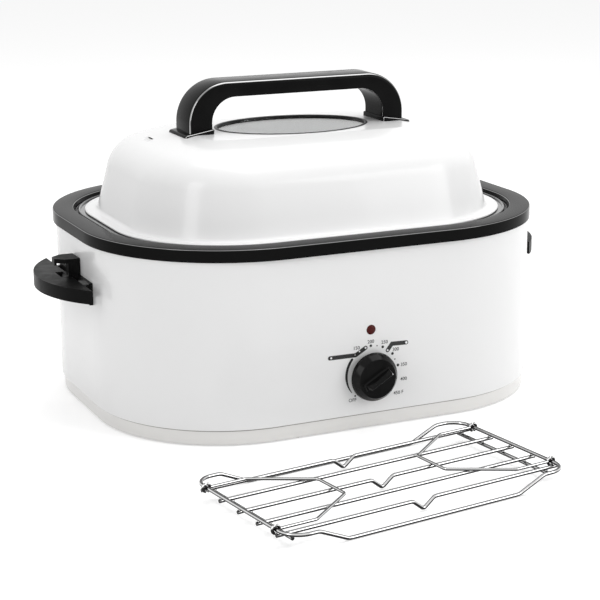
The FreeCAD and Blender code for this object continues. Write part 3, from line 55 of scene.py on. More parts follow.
def roundedLoop(halfX, halfY, corner, arcSteps=28, runSteps=6):
    # a rectangle with round corners, its straight runs divided too
    centres = [(halfX - corner, corner - halfY), (halfX - corner, halfY - corner),
               (corner - halfX, halfY - corner), (corner - halfX, corner - halfY)]
    points = []
    for quarter, (cx, cy) in enumerate(centres):
        for step in range(arcSteps + 1):
            angle = math.pi / 2 * (quarter - 1 + step / arcSteps)
            points.append((cx + corner * math.cos(angle), cy + corner * math.sin(angle)))
        turn = math.pi / 2 * quarter
        nx, ny = centres[(quarter + 1) % 4]
        target = (nx + corner * math.cos(turn), ny + corner * math.sin(turn))
        last = points[-1]
        for step in range(1, runSteps):
            t = step / runSteps
            points.append((last[0] + (target[0] - last[0]) * t, last[1] + (target[1] - last[1]) * t))
    return points


def roundedLine(points, step=12, closed=False):
    # runs through (x, y, bend radius) points, an arc at each bend, step degrees at a time
    line = []
    count = len(points)
    for i, (x, y, radius) in enumerate(points):
        inner = closed or 0 < i < count - 1
        if radius <= 0 or not inner:
            line.append((x, y))
            continue
        here = Vector((x, y))
        into = (here - Vector(points[i - 1][:2])).normalized()
        out = (Vector(points[(i + 1) % count][:2]) - here).normalized()
        turn = math.atan2(into.x * out.y - into.y * out.x, into.dot(out))
        reach = radius * math.tan(abs(turn) / 2)
        normal = Vector((-into.y, into.x)) * math.copysign(1, turn)
        centre = here - into * reach + normal * radius
        steps = max(2, math.ceil(math.degrees(abs(turn)) / step))
        for k in range(steps + 1):
            arm = Matrix.Rotation(turn * k / steps, 2) @ (-normal * radius)
            line.append(tuple(centre + arm))
    return line


def offsetPoints(points, gauge):
    # the other face of a sheet that runs through (x, y, bend radius) points
    moved = []
    count = len(points)
    normals = []
    for a, b in zip(points, points[1:]):
        run = (Vector(b[:2]) - Vector(a[:2])).normalized()
        normals.append(Vector((run.y, -run.x)))
    for i, (x, y, radius) in enumerate(points):
        before, after = normals[max(i - 1, 0)], normals[min(i, count - 2)]
        shift = (before + after) * gauge / (1 + before.dot(after))
        turn = before.x * after.y - before.y * after.x
        grown = max(radius + gauge * math.copysign(1, turn), 0) if radius > 0 else 0
        moved.append((x + shift.x, y + shift.y, grown))
    return moved


def arcPoints(cx, cy, radius, start, end, step=15):
    steps = max(2, math.ceil(abs(end - start) / step))
    angles = [math.radians(start + (end - start) * k / steps) for k in range(steps + 1)]
    return [(cx + radius * math.cos(a), cy + radius * math.sin(a)) for a in angles]


def bentPath(points, step=10):
    # straight runs through (x, y, z, bend radius) points with round bends between them
    path = []
    for i, (*spot, radius) in enumerate(points):
        here = Vector(spot)
        if radius <= 0 or i in (0, len(points) - 1):
            path.append(here)
            continue
        into = (here - Vector(points[i - 1][:3])).normalized()
        out = (Vector(points[i + 1][:3]) - here).normalized()
        turn = into.angle(out)
        axis = into.cross(out).normalized()
        arm = into.cross(axis) * radius
        centre = here - into * radius * math.tan(turn / 2) - arm
        steps = max(3, math.ceil(math.degrees(turn) / step))
        path += [centre + Matrix.Rotation(turn * k / steps, 3, axis) @ arm for k in range(steps + 1)]
    return path


def makeObject(name, vertices, faces, smoothAngle=32):
    mesh = bpy.data.meshes.new(name)
    mesh.from_pydata([Vector(v) * mm for v in vertices], [], faces)
    mesh.validate()
    mesh.polygons.foreach_set("use_smooth", [True] * len(mesh.polygons))
    mesh.set_sharp_from_angle(angle=math.radians(smoothAngle))
    piece = bpy.data.objects.new(name, mesh)
    bpy.context.scene.collection.objects.link(piece)
    return piece


def loft(name, loops, ring=False, caps=False, smoothAngle=32):
    # a skin over loops of equally many points: a ring joins the last loop to the first
    count = len(loops[0])
    vertices = [point for loop in loops for point in loop]
    faces = []
    rows = len(loops) if ring else len(loops) - 1
    for row in range(rows):
        a, b = row * count, (row + 1) % len(loops) * count
        for i in range(count):
            j = (i + 1) % count
            faces.append((a + i, a + j, b + j, b + i))
    if caps:
        faces.append(tuple(reversed(range(count))))
        faces.append(tuple(range((len(loops) - 1) * count, len(loops) * count)))
    return makeObject(name, vertices, faces, smoothAngle)


def joinPieces(name, pieces):
    for piece in bpy.context.selected_objects:
        piece.select_set(False)
    for piece in pieces:
        piece.select_set(True)
    bpy.context.view_layer.objects.active = pieces[0]
    bpy.ops.object.join()
    joined = bpy.context.view_layer.objects.active
    joined.name = name
    joined.data.name = name
    joined.select_set(False)
    return joined


def newMaterial(name):
    material = bpy.data.materials.new(name)
    material.use_nodes = True
    tree = material.node_tree
    return material, tree, tree.nodes["Principled BSDF"]


def objectCoords(tree, scale=(1, 1, 1)):
    coords = tree.nodes.new("ShaderNodeTexCoord")
    mapping = tree.nodes.new("ShaderNodeMapping")
    mapping.inputs["Scale"].default_value = scale
    tree.links.new(coords.outputs["Object"], mapping.inputs["Vector"])
    return mapping.outputs["Vector"]


def normalPart(tree, axis):
    # how far the surface faces along one of the object's own axes, from -1 to 1
    coords = tree.nodes.new("ShaderNodeTexCoord")
    split = tree.nodes.new("ShaderNodeSeparateXYZ")
    tree.links.new(coords.outputs["Normal"], split.inputs[0])
    return split.outputs[axis]


def noise(tree, vector, scale, detail, rough=0.5):
    texture = tree.nodes.new("ShaderNodeTexNoise")
    texture.inputs["Scale"].default_value = scale
    texture.inputs["Detail"].default_value = detail
    texture.inputs["Roughness"].default_value = rough
    tree.links.new(vector, texture.inputs["Vector"])
    return texture.outputs["Fac"]


def cells(tree, vector, scale):
    texture = tree.nodes.new("ShaderNodeTexVoronoi")
    texture.inputs["Scale"].default_value = scale
    tree.links.new(vector, texture.inputs["Vector"])
    return texture


def ramp(tree, value, stops):
    mixer = tree.nodes.new("ShaderNodeValToRGB")
    elements = mixer.color_ramp.elements
    while len(elements) < len(stops):
        elements.new(0.5)
    for element, (position, color) in zip(elements, stops):
        element.position = position
        element.color = (*color, 1)
    tree.links.new(value, mixer.inputs["Fac"])
    return mixer.outputs["Color"]


def grey(level):
    return (level, level, level)


def between(tree, pattern, low, high, ends=(0.3, 0.7)):
    # from low to high along a pattern
    return ramp(tree, pattern, [(ends[0], low), (ends[1], high)])


def setRoughness(tree, shader, pattern, low, high, ends=(0.3, 0.7)):
    tree.links.new(between(tree, pattern, grey(low), grey(high), ends), shader.inputs["Roughness"])


def bump(tree, shader, height, strength, depth=0.0004):
    relief = tree.nodes.new("ShaderNodeBump")
    relief.inputs["Strength"].default_value = strength
    relief.inputs["Distance"].default_value = depth
    tree.links.new(height, relief.inputs["Height"])
    tree.links.new(relief.outputs["Normal"], shader.inputs["Normal"])


edgeCoat = {
    "stops": [(0.4, grey(0)), (0.55, grey(1)), (0.68, grey(1)), (0.82, grey(0))], "roughness": 0.08,
}


def edgeShine(tree, shader, axis, ior):
    # the gloss is thicker where the surface turns over an edge, away from the axis
    size = tree.nodes.new("ShaderNodeMath")
    size.operation = "ABSOLUTE"
    tree.links.new(normalPart(tree, axis), size.inputs[0])
    tree.links.new(ramp(tree, size.outputs[0], edgeCoat["stops"]), shader.inputs["Coat Weight"])
    shader.inputs["Coat IOR"].default_value = ior
    shader.inputs["Coat Roughness"].default_value = edgeCoat["roughness"]


seamHeight = 19  # the housing meets the skirt here
# painted shadow along the skirt's top, where the housing steps out over it
seamPaintedShadow = {"reach": 1.6, "full": 0.6, "color": (0.16, 0.14, 0.12)}


def paintShadowUnderSeam(tree, vector, color):
    # painted shadow under the housing's step: full from the seam down to a share of its reach, and gone at
    # the whole reach
    shadowBand = seamPaintedShadow
    split = tree.nodes.new("ShaderNodeSeparateXYZ")
    tree.links.new(vector, split.inputs[0])
    level = tree.nodes.new("ShaderNodeMapRange")
    level.inputs["From Min"].default_value = (seamHeight - shadowBand["reach"]) * mm
    level.inputs["From Max"].default_value = (seamHeight - shadowBand["reach"] * shadowBand["full"]) * mm
    tree.links.new(split.outputs["Z"], level.inputs["Value"])
    mixer = tree.nodes.new("ShaderNodeMix")
    mixer.data_type = "RGBA"
    mixer.inputs["B"].default_value = (*shadowBand["color"], 1)
    tree.links.new(level.outputs["Result"], mixer.inputs["Factor"])
    tree.links.new(color, mixer.inputs["A"])
    return mixer.outputs["Result"]


# each pattern's scale and detail
enamelLook = {
    "cloud": (9, 3), "cloudEnds": (0.1, 0.9), "smear": (26, 4), "smearEnds": (0, 1), "uneven": 0.04,
    "ripple": (130, 2), "coatRoughness": 0.04,
}


def enamel(name, light, dark, roughness, ripple=0, coat=0, ior=1.5, edges=None, seam=False):
    look = enamelLook
    material, tree, shader = newMaterial(name)
    vector = objectCoords(tree)
    color = between(tree, noise(tree, vector, *look["cloud"]), dark, light, look["cloudEnds"])
    # painted shadow on the skirt, below the seam
    if seam:
        color = paintShadowUnderSeam(tree, vector, color)
    tree.links.new(color, shader.inputs["Base Color"])
    low, high = roughness * (1 - look["uneven"]), roughness * (1 + look["uneven"])
    setRoughness(tree, shader, noise(tree, vector, *look["smear"]), low, high, look["smearEnds"])
    if ripple:
        bump(tree, shader, noise(tree, vector, *look["ripple"]), ripple)
    shader.inputs["IOR"].default_value = ior
    shader.inputs["Coat Weight"].default_value = coat
    shader.inputs["Coat Roughness"].default_value = look["coatRoughness"]
    if edges:
        edgeShine(tree, shader, *edges)
    return material


speckledLook = {
    "specks": 260, "speck": (0.2, 0.2, 0.21), "ground": (0.009, 0.009, 0.01), "speckEnds": (0.1, 0.16),
    "smear": (30, 4), "roughness": (0.12, 0.22), "ripple": (150, 2), "rippleStrength": 0.05,
    "coat": 0.5, "coatRoughness": 0.05,
}


def speckledEnamel(name):
    look = speckledLook
    material, tree, shader = newMaterial(name)
    vector = objectCoords(tree)
    specks = cells(tree, vector, look["specks"]).outputs["Distance"]
    color = between(tree, specks, look["speck"], look["ground"], look["speckEnds"])
    tree.links.new(color, shader.inputs["Base Color"])
    setRoughness(tree, shader, noise(tree, vector, *look["smear"]), *look["roughness"])
    bump(tree, shader, noise(tree, vector, *look["ripple"]), look["rippleStrength"])
    shader.inputs["Coat Weight"].default_value = look["coat"]
    shader.inputs["Coat Roughness"].default_value = look["coatRoughness"]
    return material


mouldingLook = {
    "cloud": (34, 4), "cloudEnds": (0.35, 0.65), "smear": (70, 3), "glossy": 0.85, "worn": 1.2,
    "grainDetail": 2, "grainDepth": 0.0002,
}


def moulding(name, light, dark, roughness, grain, grainScale=900, ior=1.45, edges=None):
    look = mouldingLook
    material, tree, shader = newMaterial(name)
    vector = objectCoords(tree)
    color = between(tree, noise(tree, vector, *look["cloud"]), dark, light, look["cloudEnds"])
    tree.links.new(color, shader.inputs["Base Color"])
    smear = noise(tree, vector, *look["smear"])
    setRoughness(tree, shader, smear, roughness * look["glossy"], roughness * look["worn"])
    bump(tree, shader, noise(tree, vector, grainScale, look["grainDetail"]), grain, look["grainDepth"])
    shader.inputs["IOR"].default_value = ior
    if edges:
        edgeShine(tree, shader, *edges)
    return material


metalLook = {"cloud": (60, 4), "smear": (180, 4), "polished": 0.7, "worn": 1.3, "scratchDepth": 0.0002}


def metalSurface(tree, shader, vector, roughness, scratches):
    look = metalLook
    smear = noise(tree, vector, *look["smear"])
    setRoughness(tree, shader, smear, roughness * look["polished"], roughness * look["worn"])
    bump(tree, shader, smear, scratches, look["scratchDepth"])
    shader.inputs["Metallic"].default_value = 1


def metal(name, light, dark, roughness, scratches=0.05, stretch=(1, 1, 1)):
    material, tree, shader = newMaterial(name)
    vector = objectCoords(tree, stretch)
    color = between(tree, noise(tree, vector, *metalLook["cloud"]), dark, light)
    tree.links.new(color, shader.inputs["Base Color"])
    metalSurface(tree, shader, vector, roughness, scratches)
    return material


# painted reflection and shade: how bright the wire's colour is painted where it faces down, 0, to where it
# faces up, 1
wirePaintedReflectionBands = [(0.05, 0.08), (0.3, 0.015), (0.56, 0.03), (0.68, 0.7), (0.84, 0.75), (0.91, 0.16), (1, 0.07)]


def paintedReflectionWire(name, roughness, scratches):
    # painted reflection and shade: the colour is painted bright on the upper slopes, and painted dark
    # underneath and along the very top
    material, tree, shader = newMaterial(name)
    level = tree.nodes.new("ShaderNodeMapRange")
    level.inputs["From Min"].default_value = -1
    tree.links.new(normalPart(tree, "Z"), level.inputs["Value"])
    color = ramp(tree, level.outputs["Result"], [(facing, grey(bright)) for facing, bright in wirePaintedReflectionBands])
    tree.links.new(color, shader.inputs["Base Color"])
    metalSurface(tree, shader, objectCoords(tree), roughness, scratches)
    return material


galvanisedLook = {
    "spangles": 90, "dark": grey(0.42), "light": grey(0.62), "roughness": (0.32, 0.48), "ends": (0.1, 0.9),
    "grain": (300, 3), "grainStrength": 0.06,
}


def galvanised(name):
    look = galvanisedLook
    material, tree, shader = newMaterial(name)
    vector = objectCoords(tree)
    spangles = cells(tree, vector, look["spangles"]).outputs["Color"]
    color = between(tree, spangles, look["dark"], look["light"], look["ends"])
    tree.links.new(color, shader.inputs["Base Color"])
    setRoughness(tree, shader, spangles, *look["roughness"], look["ends"])
    bump(tree, shader, noise(tree, vector, *look["grain"]), look["grainStrength"])
    shader.inputs["Metallic"].default_value = 1
    return material


woolLook = {
    "fibres": (240, 8, 0.7), "stretch": (1, 1, 3), "dark": (0.45, 0.36, 0.14), "light": (0.86, 0.78, 0.5),
    "roughness": 0.95, "relief": 0.8, "depth": 0.002,
}


def fibreWool(name):
    look = woolLook
    material, tree, shader = newMaterial(name)
    fibres = noise(tree, objectCoords(tree, look["stretch"]), *look["fibres"])
    tree.links.new(between(tree, fibres, look["dark"], look["light"]), shader.inputs["Base Color"])
    shader.inputs["Roughness"].default_value = look["roughness"]
    bump(tree, shader, fibres, look["relief"], look["depth"])
    return material


glassLook = {"smear": (14, 4), "hazy": 1.6}


def tintedGlass(name, color, roughness, transmission, ior=1.5):
    look = glassLook
    material, tree, shader = newMaterial(name)
    smear = noise(tree, objectCoords(tree), *look["smear"])
    setRoughness(tree, shader, smear, roughness, roughness * look["hazy"])
    shader.inputs["Base Color"].default_value = (*color, 1)
    shader.inputs["Transmission Weight"].default_value = transmission
    shader.inputs["IOR"].default_value = ior
    return material


# light and dark colour, roughness, then the depth of the ripple, grain or scratches; a glass has one
# colour, its roughness, how clear it is and its index of refraction
finishes = {
    "white_enamel": enamel("whiteEnamel", grey(0.89), grey(0.88), 0.26, coat=0.25),
    # the skirt's enamel carries a painted shadow below the seam
    "skirt_enamel": enamel("skirtEnamel", (0.85, 0.84, 0.82), (0.835, 0.825, 0.805), 0.28, coat=0.25,
                           seam=True),
    "black_enamel": enamel("blackEnamel", grey(0.008), grey(0.005), 0.12, 0.015, ior=1.1,
                           edges=("Z", 3.4)),
    "pan_enamel": speckledEnamel("panEnamel"),
    "galvanised_steel": galvanised("galvanisedSteel"),
    "zinc_screws": metal("zincPlate", (0.72, 0.72, 0.7), (0.55, 0.55, 0.53), 0.3),
    "element_sheath": metal("heaterSheath", (0.2, 0.17, 0.15), (0.09, 0.08, 0.08), 0.5, 0.15),
    "glass_wool": fibreWool("glassWool"),
    "black_phenolic": moulding("glossPhenolic", grey(0.007), grey(0.005), 0.16, 0.02, 700, 1.12,
                               ("Y", 3.8)),
    "black_moulding": moulding("satinMoulding", grey(0.008), grey(0.005), 0.34, 0.12, 1400, 1.12),
    "white_marking": moulding("whitePaint", grey(0.9), grey(0.86), 0.4, 0.05),
    "red_lens": tintedGlass("redLens", (0.07, 0.006, 0.005), 0.2, 0, 1.25),
    "bulb_glass": tintedGlass("bulbGlass", (0.95, 0.75, 0.55), 0.04, 0.9),
    "clear_glass": tintedGlass("windowGlass", (0.93, 0.96, 0.95), 0.01, 1, 1.25),
    "black_silicone": moulding("blackSilicone", grey(0.014), grey(0.01), 0.45, 0.08),
    "black_rubber": moulding("footRubber", grey(0.03), grey(0.02), 0.7, 0.2),
    "brown_phenolic": moulding("brownPhenolic", (0.14, 0.06, 0.03), (0.1, 0.04, 0.02), 0.4, 0.1, 500),
    "ceramic_white": moulding("ceramicBeads", (0.85, 0.82, 0.76), (0.78, 0.75, 0.7), 0.55, 0.2, 600),
    "brass": metal("brass", (0.78, 0.56, 0.22), (0.6, 0.42, 0.16), 0.28),
    "shaft_aluminium": metal("turnedAluminium", grey(0.78), grey(0.66), 0.3, 0.1, (1, 12, 1)),
    "lead_black": moulding("leadBlack", grey(0.03), grey(0.02), 0.5, 0.05),
    "lead_white": moulding("leadWhite", grey(0.78), grey(0.7), 0.5, 0.05),
    "lead_red": moulding("leadRed", (0.5, 0.02, 0.02), (0.4, 0.015, 0.015), 0.5, 0.05),
    "lead_green": moulding("leadGreen", (0.05, 0.32, 0.08), (0.04, 0.26, 0.06), 0.5, 0.05),
    # the rack's wires carry painted reflection and shade in their colour
    "chrome_wire": paintedReflectionWire("chromeWire", 0.14, 0.04),
}
dialInk = moulding("dialInk", grey(0.015), grey(0.01), 0.4, 0.03)
knobGloss = moulding("knobGloss", grey(0.005), grey(0.004), 0.1, 0.02, 700, 1.22)


def setMaterial(piece, material):
    piece.data.materials.clear()
    piece.data.materials.append(material)


for part in frame["record"]["subparts"]:
    setMaterial(frame["nodes"][part["node"]], finishes[part["material_slot"]])
print("materials ready:", len(finishes))


def place(piece, body, slotName, *nodes):
    setMaterial(piece, finishes[slotName])
    if nodes:
        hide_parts(*nodes)
    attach(piece, body)
    return piece


# insets are measured inwards from the rim's outline, and the corners are radii brought out to it
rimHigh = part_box("rim_collar")[1] / mm
rim = {
    "halfLength": rimHigh.x, "halfWidth": rimHigh.y, "corner": 178, "top": rimHigh.z,
    "lipHeight": 14.5, "edge": 1.8, "flat": 25, "flatBend": 2, "lean": 2.5, "step": 6.5, "seat": 8,
    "seatBend": 1, "gauge": 0.8, "hemInset": 0.5, "leastCorner": 0.4,
}
rim["stepInset"] = rim["flat"] + rim["lean"]
rim["ledgeTop"] = rim["top"] - rim["step"]
housing = {"inset": 6, "corner": 168, "gauge": 0.7, "seamFlange": 13, "bend": 1.5}
skirt = {"inset": 9, "hem": 9, "low": 1.5, "gauge": 0.8, "bend": 1.5}
well = {"inset": 53, "edge": 28.5, "mouthBend": 2, "floor": 36, "floorBend": 14, "gauge": 0.7}


def ringLoop(inset, height, corner=rim["corner"]):
    corner = max(corner - inset, rim["leastCorner"])
    outline = roundedLoop(rim["halfLength"] - inset, rim["halfWidth"] - inset, corner)
    return [(x, y, height) for x, y in outline]


def sheetLoops(points, gauge, corner=rim["corner"]):
    line = roundedLine(points) + roundedLine(offsetPoints(points, gauge))[::-1]
    return [ringLoop(inset, height, corner) for inset, height in line]


def rimCollar():
    lipBottom = rim["top"] - rim["lipHeight"]
    seatTop = rim["ledgeTop"] - well["gauge"]
    points = [(0, lipBottom, 0), (0, rim["top"], rim["edge"]), (rim["flat"], rim["top"], rim["flatBend"]),
              (rim["stepInset"], seatTop, rim["seatBend"]), (rim["stepInset"] + rim["seat"], seatTop, 0)]
    collar = loft("collarRing", sheetLoops(points, rim["gauge"]), ring=True)
    hemTop = lipBottom + rim["gauge"]
    hem = loft("lipHem", [ringLoop(rim["hemInset"], lipBottom),
                          ringLoop(housing["inset"], lipBottom, housing["corner"]),
                          ringLoop(housing["inset"], hemTop, housing["corner"]),
                          ringLoop(rim["hemInset"], hemTop)], ring=True)
    return place(joinPieces("rimCollar", [collar, hem]), "housing", "black_enamel", "rim_collar")


def outerHousing():
    points = [(housing["inset"] + housing["seamFlange"], seamHeight, 0),
              (housing["inset"], seamHeight, housing["bend"]),
              (housing["inset"], rim["top"] - rim["gauge"], 0)]
    wall = loft("housingWall", sheetLoops(points, housing["gauge"], housing["corner"]), ring=True)
    return place(wall, "housing", "white_enamel", "outer_housing")


def baseSkirt():
    points = [(housing["inset"] + housing["seamFlange"], seamHeight, 0),
              (skirt["inset"], seamHeight, skirt["bend"]),
              (skirt["inset"], skirt["low"], skirt["bend"]),
              (skirt["inset"] + skirt["hem"], skirt["low"], 0)]
    wall = loft("baseSkirt", sheetLoops(points, -skirt["gauge"], housing["corner"]), ring=True)
    return place(wall, "housing", "skirt_enamel", "base_skirt")


pan = {
    "flange": 31, "bead": 1.5, "beadTurn": (-60, -350), "mouth": 62, "mouthBend": 6, "draft": 9,
    "floor": 46, "floorBend": 22, "gauge": 0.9, "restGap": 0.2,
}
vessel = {"arcStep": 9, "floorRings": (14, 30), "middle": 176}


def vesselLoops(points, floorInset):
    # down the wall and in over the floor, to a last ring that a cap closes
    line = roundedLine(points, vessel["arcStep"])
    floor = line[-1][1]
    line += [(floorInset + run, floor) for run in vessel["floorRings"]] + [(vessel["middle"], floor)]
    return [ringLoop(inset, height) for inset, height in line]


def roastingPan():
    flangeBottom = rim["ledgeTop"] + pan["restGap"]
    flangeTop = flangeBottom + pan["gauge"]
    floorInset = pan["mouth"] + pan["draft"] + 2 * pan["floorBend"]
    points = [(pan["flange"] + pan["bead"] * 2, flangeTop, 0), (pan["mouth"], flangeTop, pan["mouthBend"]),
              (pan["mouth"] + pan["draft"], pan["floor"], pan["floorBend"]), (floorInset, pan["floor"], 0)]
    rolled = arcPoints(pan["flange"] + pan["bead"], flangeBottom + pan["bead"], pan["bead"],
                       *pan["beadTurn"])
    loops = vesselLoops(offsetPoints(points, pan["gauge"]), floorInset)[::-1]
    loops += [ringLoop(inset, height) for inset, height in rolled]
    loops += vesselLoops(points, floorInset)
    return place(loft("roastingPan", loops, caps=True), "pan", "pan_enamel", "roasting_pan")


def cookingWell():
    floorInset = well["inset"] + 2 * well["floorBend"]
    points = [(well["edge"], rim["ledgeTop"], 0), (well["inset"], rim["ledgeTop"], well["mouthBend"]),
              (well["inset"], well["floor"], well["floorBend"]), (floorInset, well["floor"], 0)]
    loops = vesselLoops(offsetPoints(points, well["gauge"]), floorInset)[::-1]
    loops += vesselLoops(points, floorInset)
    return place(loft("cookingWell", loops, caps=True), "housing", "black_enamel", "cooking_well")


lid = {
    "brim": 39, "bead": 1.3, "beadTurn": (-22, -338), "foot": 54, "footBend": 5, "gauge": 0.8, "arcStep": 4,
    # inset, height, bend radius
    "shoulder": (74.7, 304.8, 47), "crown": (118, 317.8, 150), "panel": (148, 324.3, 25),
    "panelEdge": 152, "windowHalf": (97.5, 71), "panelRings": (0.35, 0.7),
    "vent": {"x": -172, "y": 27, "length": 16, "width": 2.6, "corner": 1.2, "cut": (290, 340)},
}


def ellipseLoop(reference, halves, height):
    # points of an ellipse, each in the direction of one of the reference's points
    a, b = halves
    points = []
    for x, y, _ in reference:
        angle = math.atan2(y / b, x / a)
        points.append((a * math.cos(angle), b * math.sin(angle), height))
    return points


def blendLoop(first, second, t):
    return [tuple(Vector(p).lerp(Vector(q), t)) for p, q in zip(first, second)]


def ventCutter():
    vent = lid["vent"]
    halfWidth, halfLength = vent["width"] / 2, vent["length"] / 2
    corners = ((-halfWidth, -halfLength), (halfWidth, -halfLength), (halfWidth, halfLength),
               (-halfWidth, halfLength))
    outline = roundedLine([(vent["x"] + x, vent["y"] + y, vent["corner"]) for x, y in corners],
                          step=20, closed=True)
    return loft("ventCutter", [[(x, y, z) for x, y in outline] for z in vent["cut"]], caps=True)


def cutVent(shell):
    cutter = ventCutter()
    slot = shell.modifiers.new("vent slot", "BOOLEAN")
    slot.object = cutter
    slot.solver = "EXACT"
    bpy.context.view_layer.objects.active = shell
    bpy.ops.object.modifier_apply(modifier=slot.name)
    bpy.data.objects.remove(cutter)


def lidShell():
    panelTop = lid["panel"][1]
    beadHeight = rim["ledgeTop"] + pan["restGap"] * 2 + pan["gauge"] + lid["bead"]
    brimTop = beadHeight + lid["gauge"] / 2
    points = [(lid["brim"] + lid["bead"] * 2, brimTop, 0), (lid["foot"], brimTop, lid["footBend"]),
              lid["shoulder"], lid["crown"], lid["panel"], (lid["panelEdge"], panelTop, 0)]
    outer = [ringLoop(*p) for p in roundedLine(points, lid["arcStep"])]
    inner = [ringLoop(*p) for p in roundedLine(offsetPoints(points, lid["gauge"]), lid["arcStep"])]
    rolled = arcPoints(lid["brim"] + lid["bead"], beadHeight, lid["bead"], *lid["beadTurn"])
    hole = ellipseLoop(outer[-1], lid["windowHalf"], panelTop)
    holeUnder = [(x, y, z - lid["gauge"]) for x, y, z in hole]
    loops = [ringLoop(*p) for p in rolled] + outer
    loops += [blendLoop(outer[-1], hole, t) for t in lid["panelRings"]] + [hole, holeUnder]
    loops += [blendLoop(inner[-1], holeUnder, t) for t in reversed(lid["panelRings"])] + inner[::-1]
    shell = loft("lidShell", loops, ring=True)
    cutVent(shell)
    return place(shell, "lid", "white_enamel", "lid_shell")


outerHousing()
baseSkirt()
rimCollar()
cookingWell()
roastingPan()
lidShell()
print("sheet metal rings done")


lidHandle = {
    "half": 141.5, "innerHalf": 112.5, "bottom": 330.2, "fall": 4.8, "top": 384.5, "bar": 18.1,
    "outerRound": 49.5, "innerRound": 30, "arcStep": 4, "depth": 49, "edge": 5, "innerEdge": 0.9,
    "edgeTurns": (0, 10, 20, 30, 42, 55, 70, 90),
}


def plateHeight(x):
    # top of the tilted foot plates at a distance from the middle
    h = lidHandle
    return h["bottom"] - (abs(x) - h["innerHalf"]) * h["fall"] / (h["half"] - h["innerHalf"])


def handleOutline(outer, inner):
    # the side view, with its outside and its inside drawn back by some millimetres
    h = lidHandle
    half, innerHalf = h["half"] - outer, h["innerHalf"] + inner
    top, under = h["top"] - outer, h["top"] - h["bar"] + inner
    outerRound, innerRound = h["outerRound"] - outer, h["innerRound"] + inner
    points = [(-half, plateHeight(half), 0), (-innerHalf, plateHeight(innerHalf), 0),
              (-innerHalf, under, innerRound), (innerHalf, under, innerRound),
              (innerHalf, plateHeight(innerHalf), 0), (half, plateHeight(half), 0),
              (half, top, outerRound), (-half, top, outerRound)]
    return roundedLine(points, h["arcStep"], closed=True)


def lidHandleBar():
    h = lidHandle
    edge, innerEdge = h["edge"], h["innerEdge"]
    loops = []
    for turn in h["edgeTurns"]:
        depth = edge * (1 - math.cos(math.radians(turn)))
        outer = edge * (1 - math.sin(math.radians(turn)))
        inner = innerEdge - math.sqrt(innerEdge ** 2 - max(innerEdge - depth, 0) ** 2)
        loops.append([(x, h["depth"] / 2 - depth, z) for x, z in handleOutline(outer, inner)])
    loops += [[(x, -y, z) for x, y, z in loop] for loop in loops[::-1]]
    bar = loft("lidHandle", loops, caps=True, smoothAngle=40)
    return place(bar, "lid", "black_phenolic", "lid_handle_bar")


lidFoot = {
    "centre": 130, "halfLength": 18.5, "halfDepth": 29.5, "corner": 3, "leastCorner": 0.5,
    "panelEnd": 135, "slope": 0.2167, "border": 2.3, "borderTurns": (0, 18, 36, 54, 72, 90),
}


def lidHandleFoot(word, side):
    # a plate with a tilted top and a round border, its underside on the lid's panel and on the slope
    # that starts at the panel's end
    f = lidFoot
    steps = [(0, None)]  # inset, and drop from the plate's top: None is the lid's surface
    for turn in f["borderTurns"]:
        a = math.radians(turn)
        steps.append((f["border"] * (1 - math.cos(a)), f["border"] * (1 - math.sin(a))))
    loops = []
    for inset, drop in steps:
        corner = max(f["corner"] - inset, f["leastCorner"])
        outline = roundedLoop(f["halfLength"] - inset, f["halfDepth"] - inset, corner,
                              arcSteps=6, runSteps=3)
        loop = []
        for x, y in outline:
            x += side * f["centre"]
            panel = lid["panel"][1] - max(abs(x) - f["panelEnd"], 0) * f["slope"]
            loop.append((x, y, panel if drop is None else plateHeight(x) - drop))
        loops.append(loop)
    foot = loft("lidHandleFoot_" + word, loops, caps=True, smoothAngle=40)
    return place(foot, "lid", "black_phenolic", "lid_handle_foot_" + word)


windowGasket = {
    "sides": 120,
    # offset from the hole's edge, height
    "section": [(0, 323.4), (0, 324.5), (-0.5, 325.0), (-3.0, 325.0), (-3.5, 324.6), (-3.5, 322.7),
                (-1.5, 322.7), (-1.5, 318.5), (-3.5, 318.5), (-3.5, 316.9), (0, 316.9), (0, 321.9),
                (3, 321.9), (3, 323.4)],
}


def lidWindowGasket():
    a, b = lid["windowHalf"]
    loops = [[((a + offset) * math.cos(t), (b + offset) * math.sin(t), height)
              for t in circleAngles(windowGasket["sides"])] for offset, height in windowGasket["section"]]
    gasket = loft("windowGasket", loops[::-1], ring=True, smoothAngle=50)
    return place(gasket, "lid", "black_silicone", "lid_window_gasket")


lidHandleBar()
lidHandleFoot("left", -1)
lidHandleFoot("right", 1)
lidWindowGasket()
print("lid furniture done")


frontWall = -220  # the housing's flat front
knob = {
    "height": 65, "angle": 30, "standoff": 2.4, "sides": 96, "centreRadius": 0.5,
    "hubRadius": 21, "hub": 5, "hubBend": 0.5, "radius": 29, "skirtBend": 0.8,
    "front": 10, "frontInset": 1.2, "frontBend": 1.6, "faceRadius": 23, "face": 16, "faceBend": 1.4,
    "dish": 0.9, "dishRings": (0.93, 0.8, 0.55, 0.3, 0.02),
    "barHalf": 18.2, "barWidth": 9, "ridge": 28, "barCorner": 0.9, "ridgeCorner": 0.5,
    "draft": math.tan(math.radians(10)),  # how far the bar's sides lean in over its height
    # share of the bar's height, extra width there: a fillet at the foot and a soft edge at the ridge
    "barRows": ((0, 1.6), (0.3, 1.5), (0.34, 0.5), (0.4, 0), (0.95, 0), (0.985, -0.3), (1, -0.8)),
}


def knobPlace(across, up, out):
    # knob coordinates, along the bar, square to it and out of the wall, into the frame
    turn = math.radians(knob["angle"])
    x = across * math.cos(turn) - up * math.sin(turn)
    z = across * math.sin(turn) + up * math.cos(turn)
    return (x, frontWall - knob["standoff"] - out, knob["height"] + z)


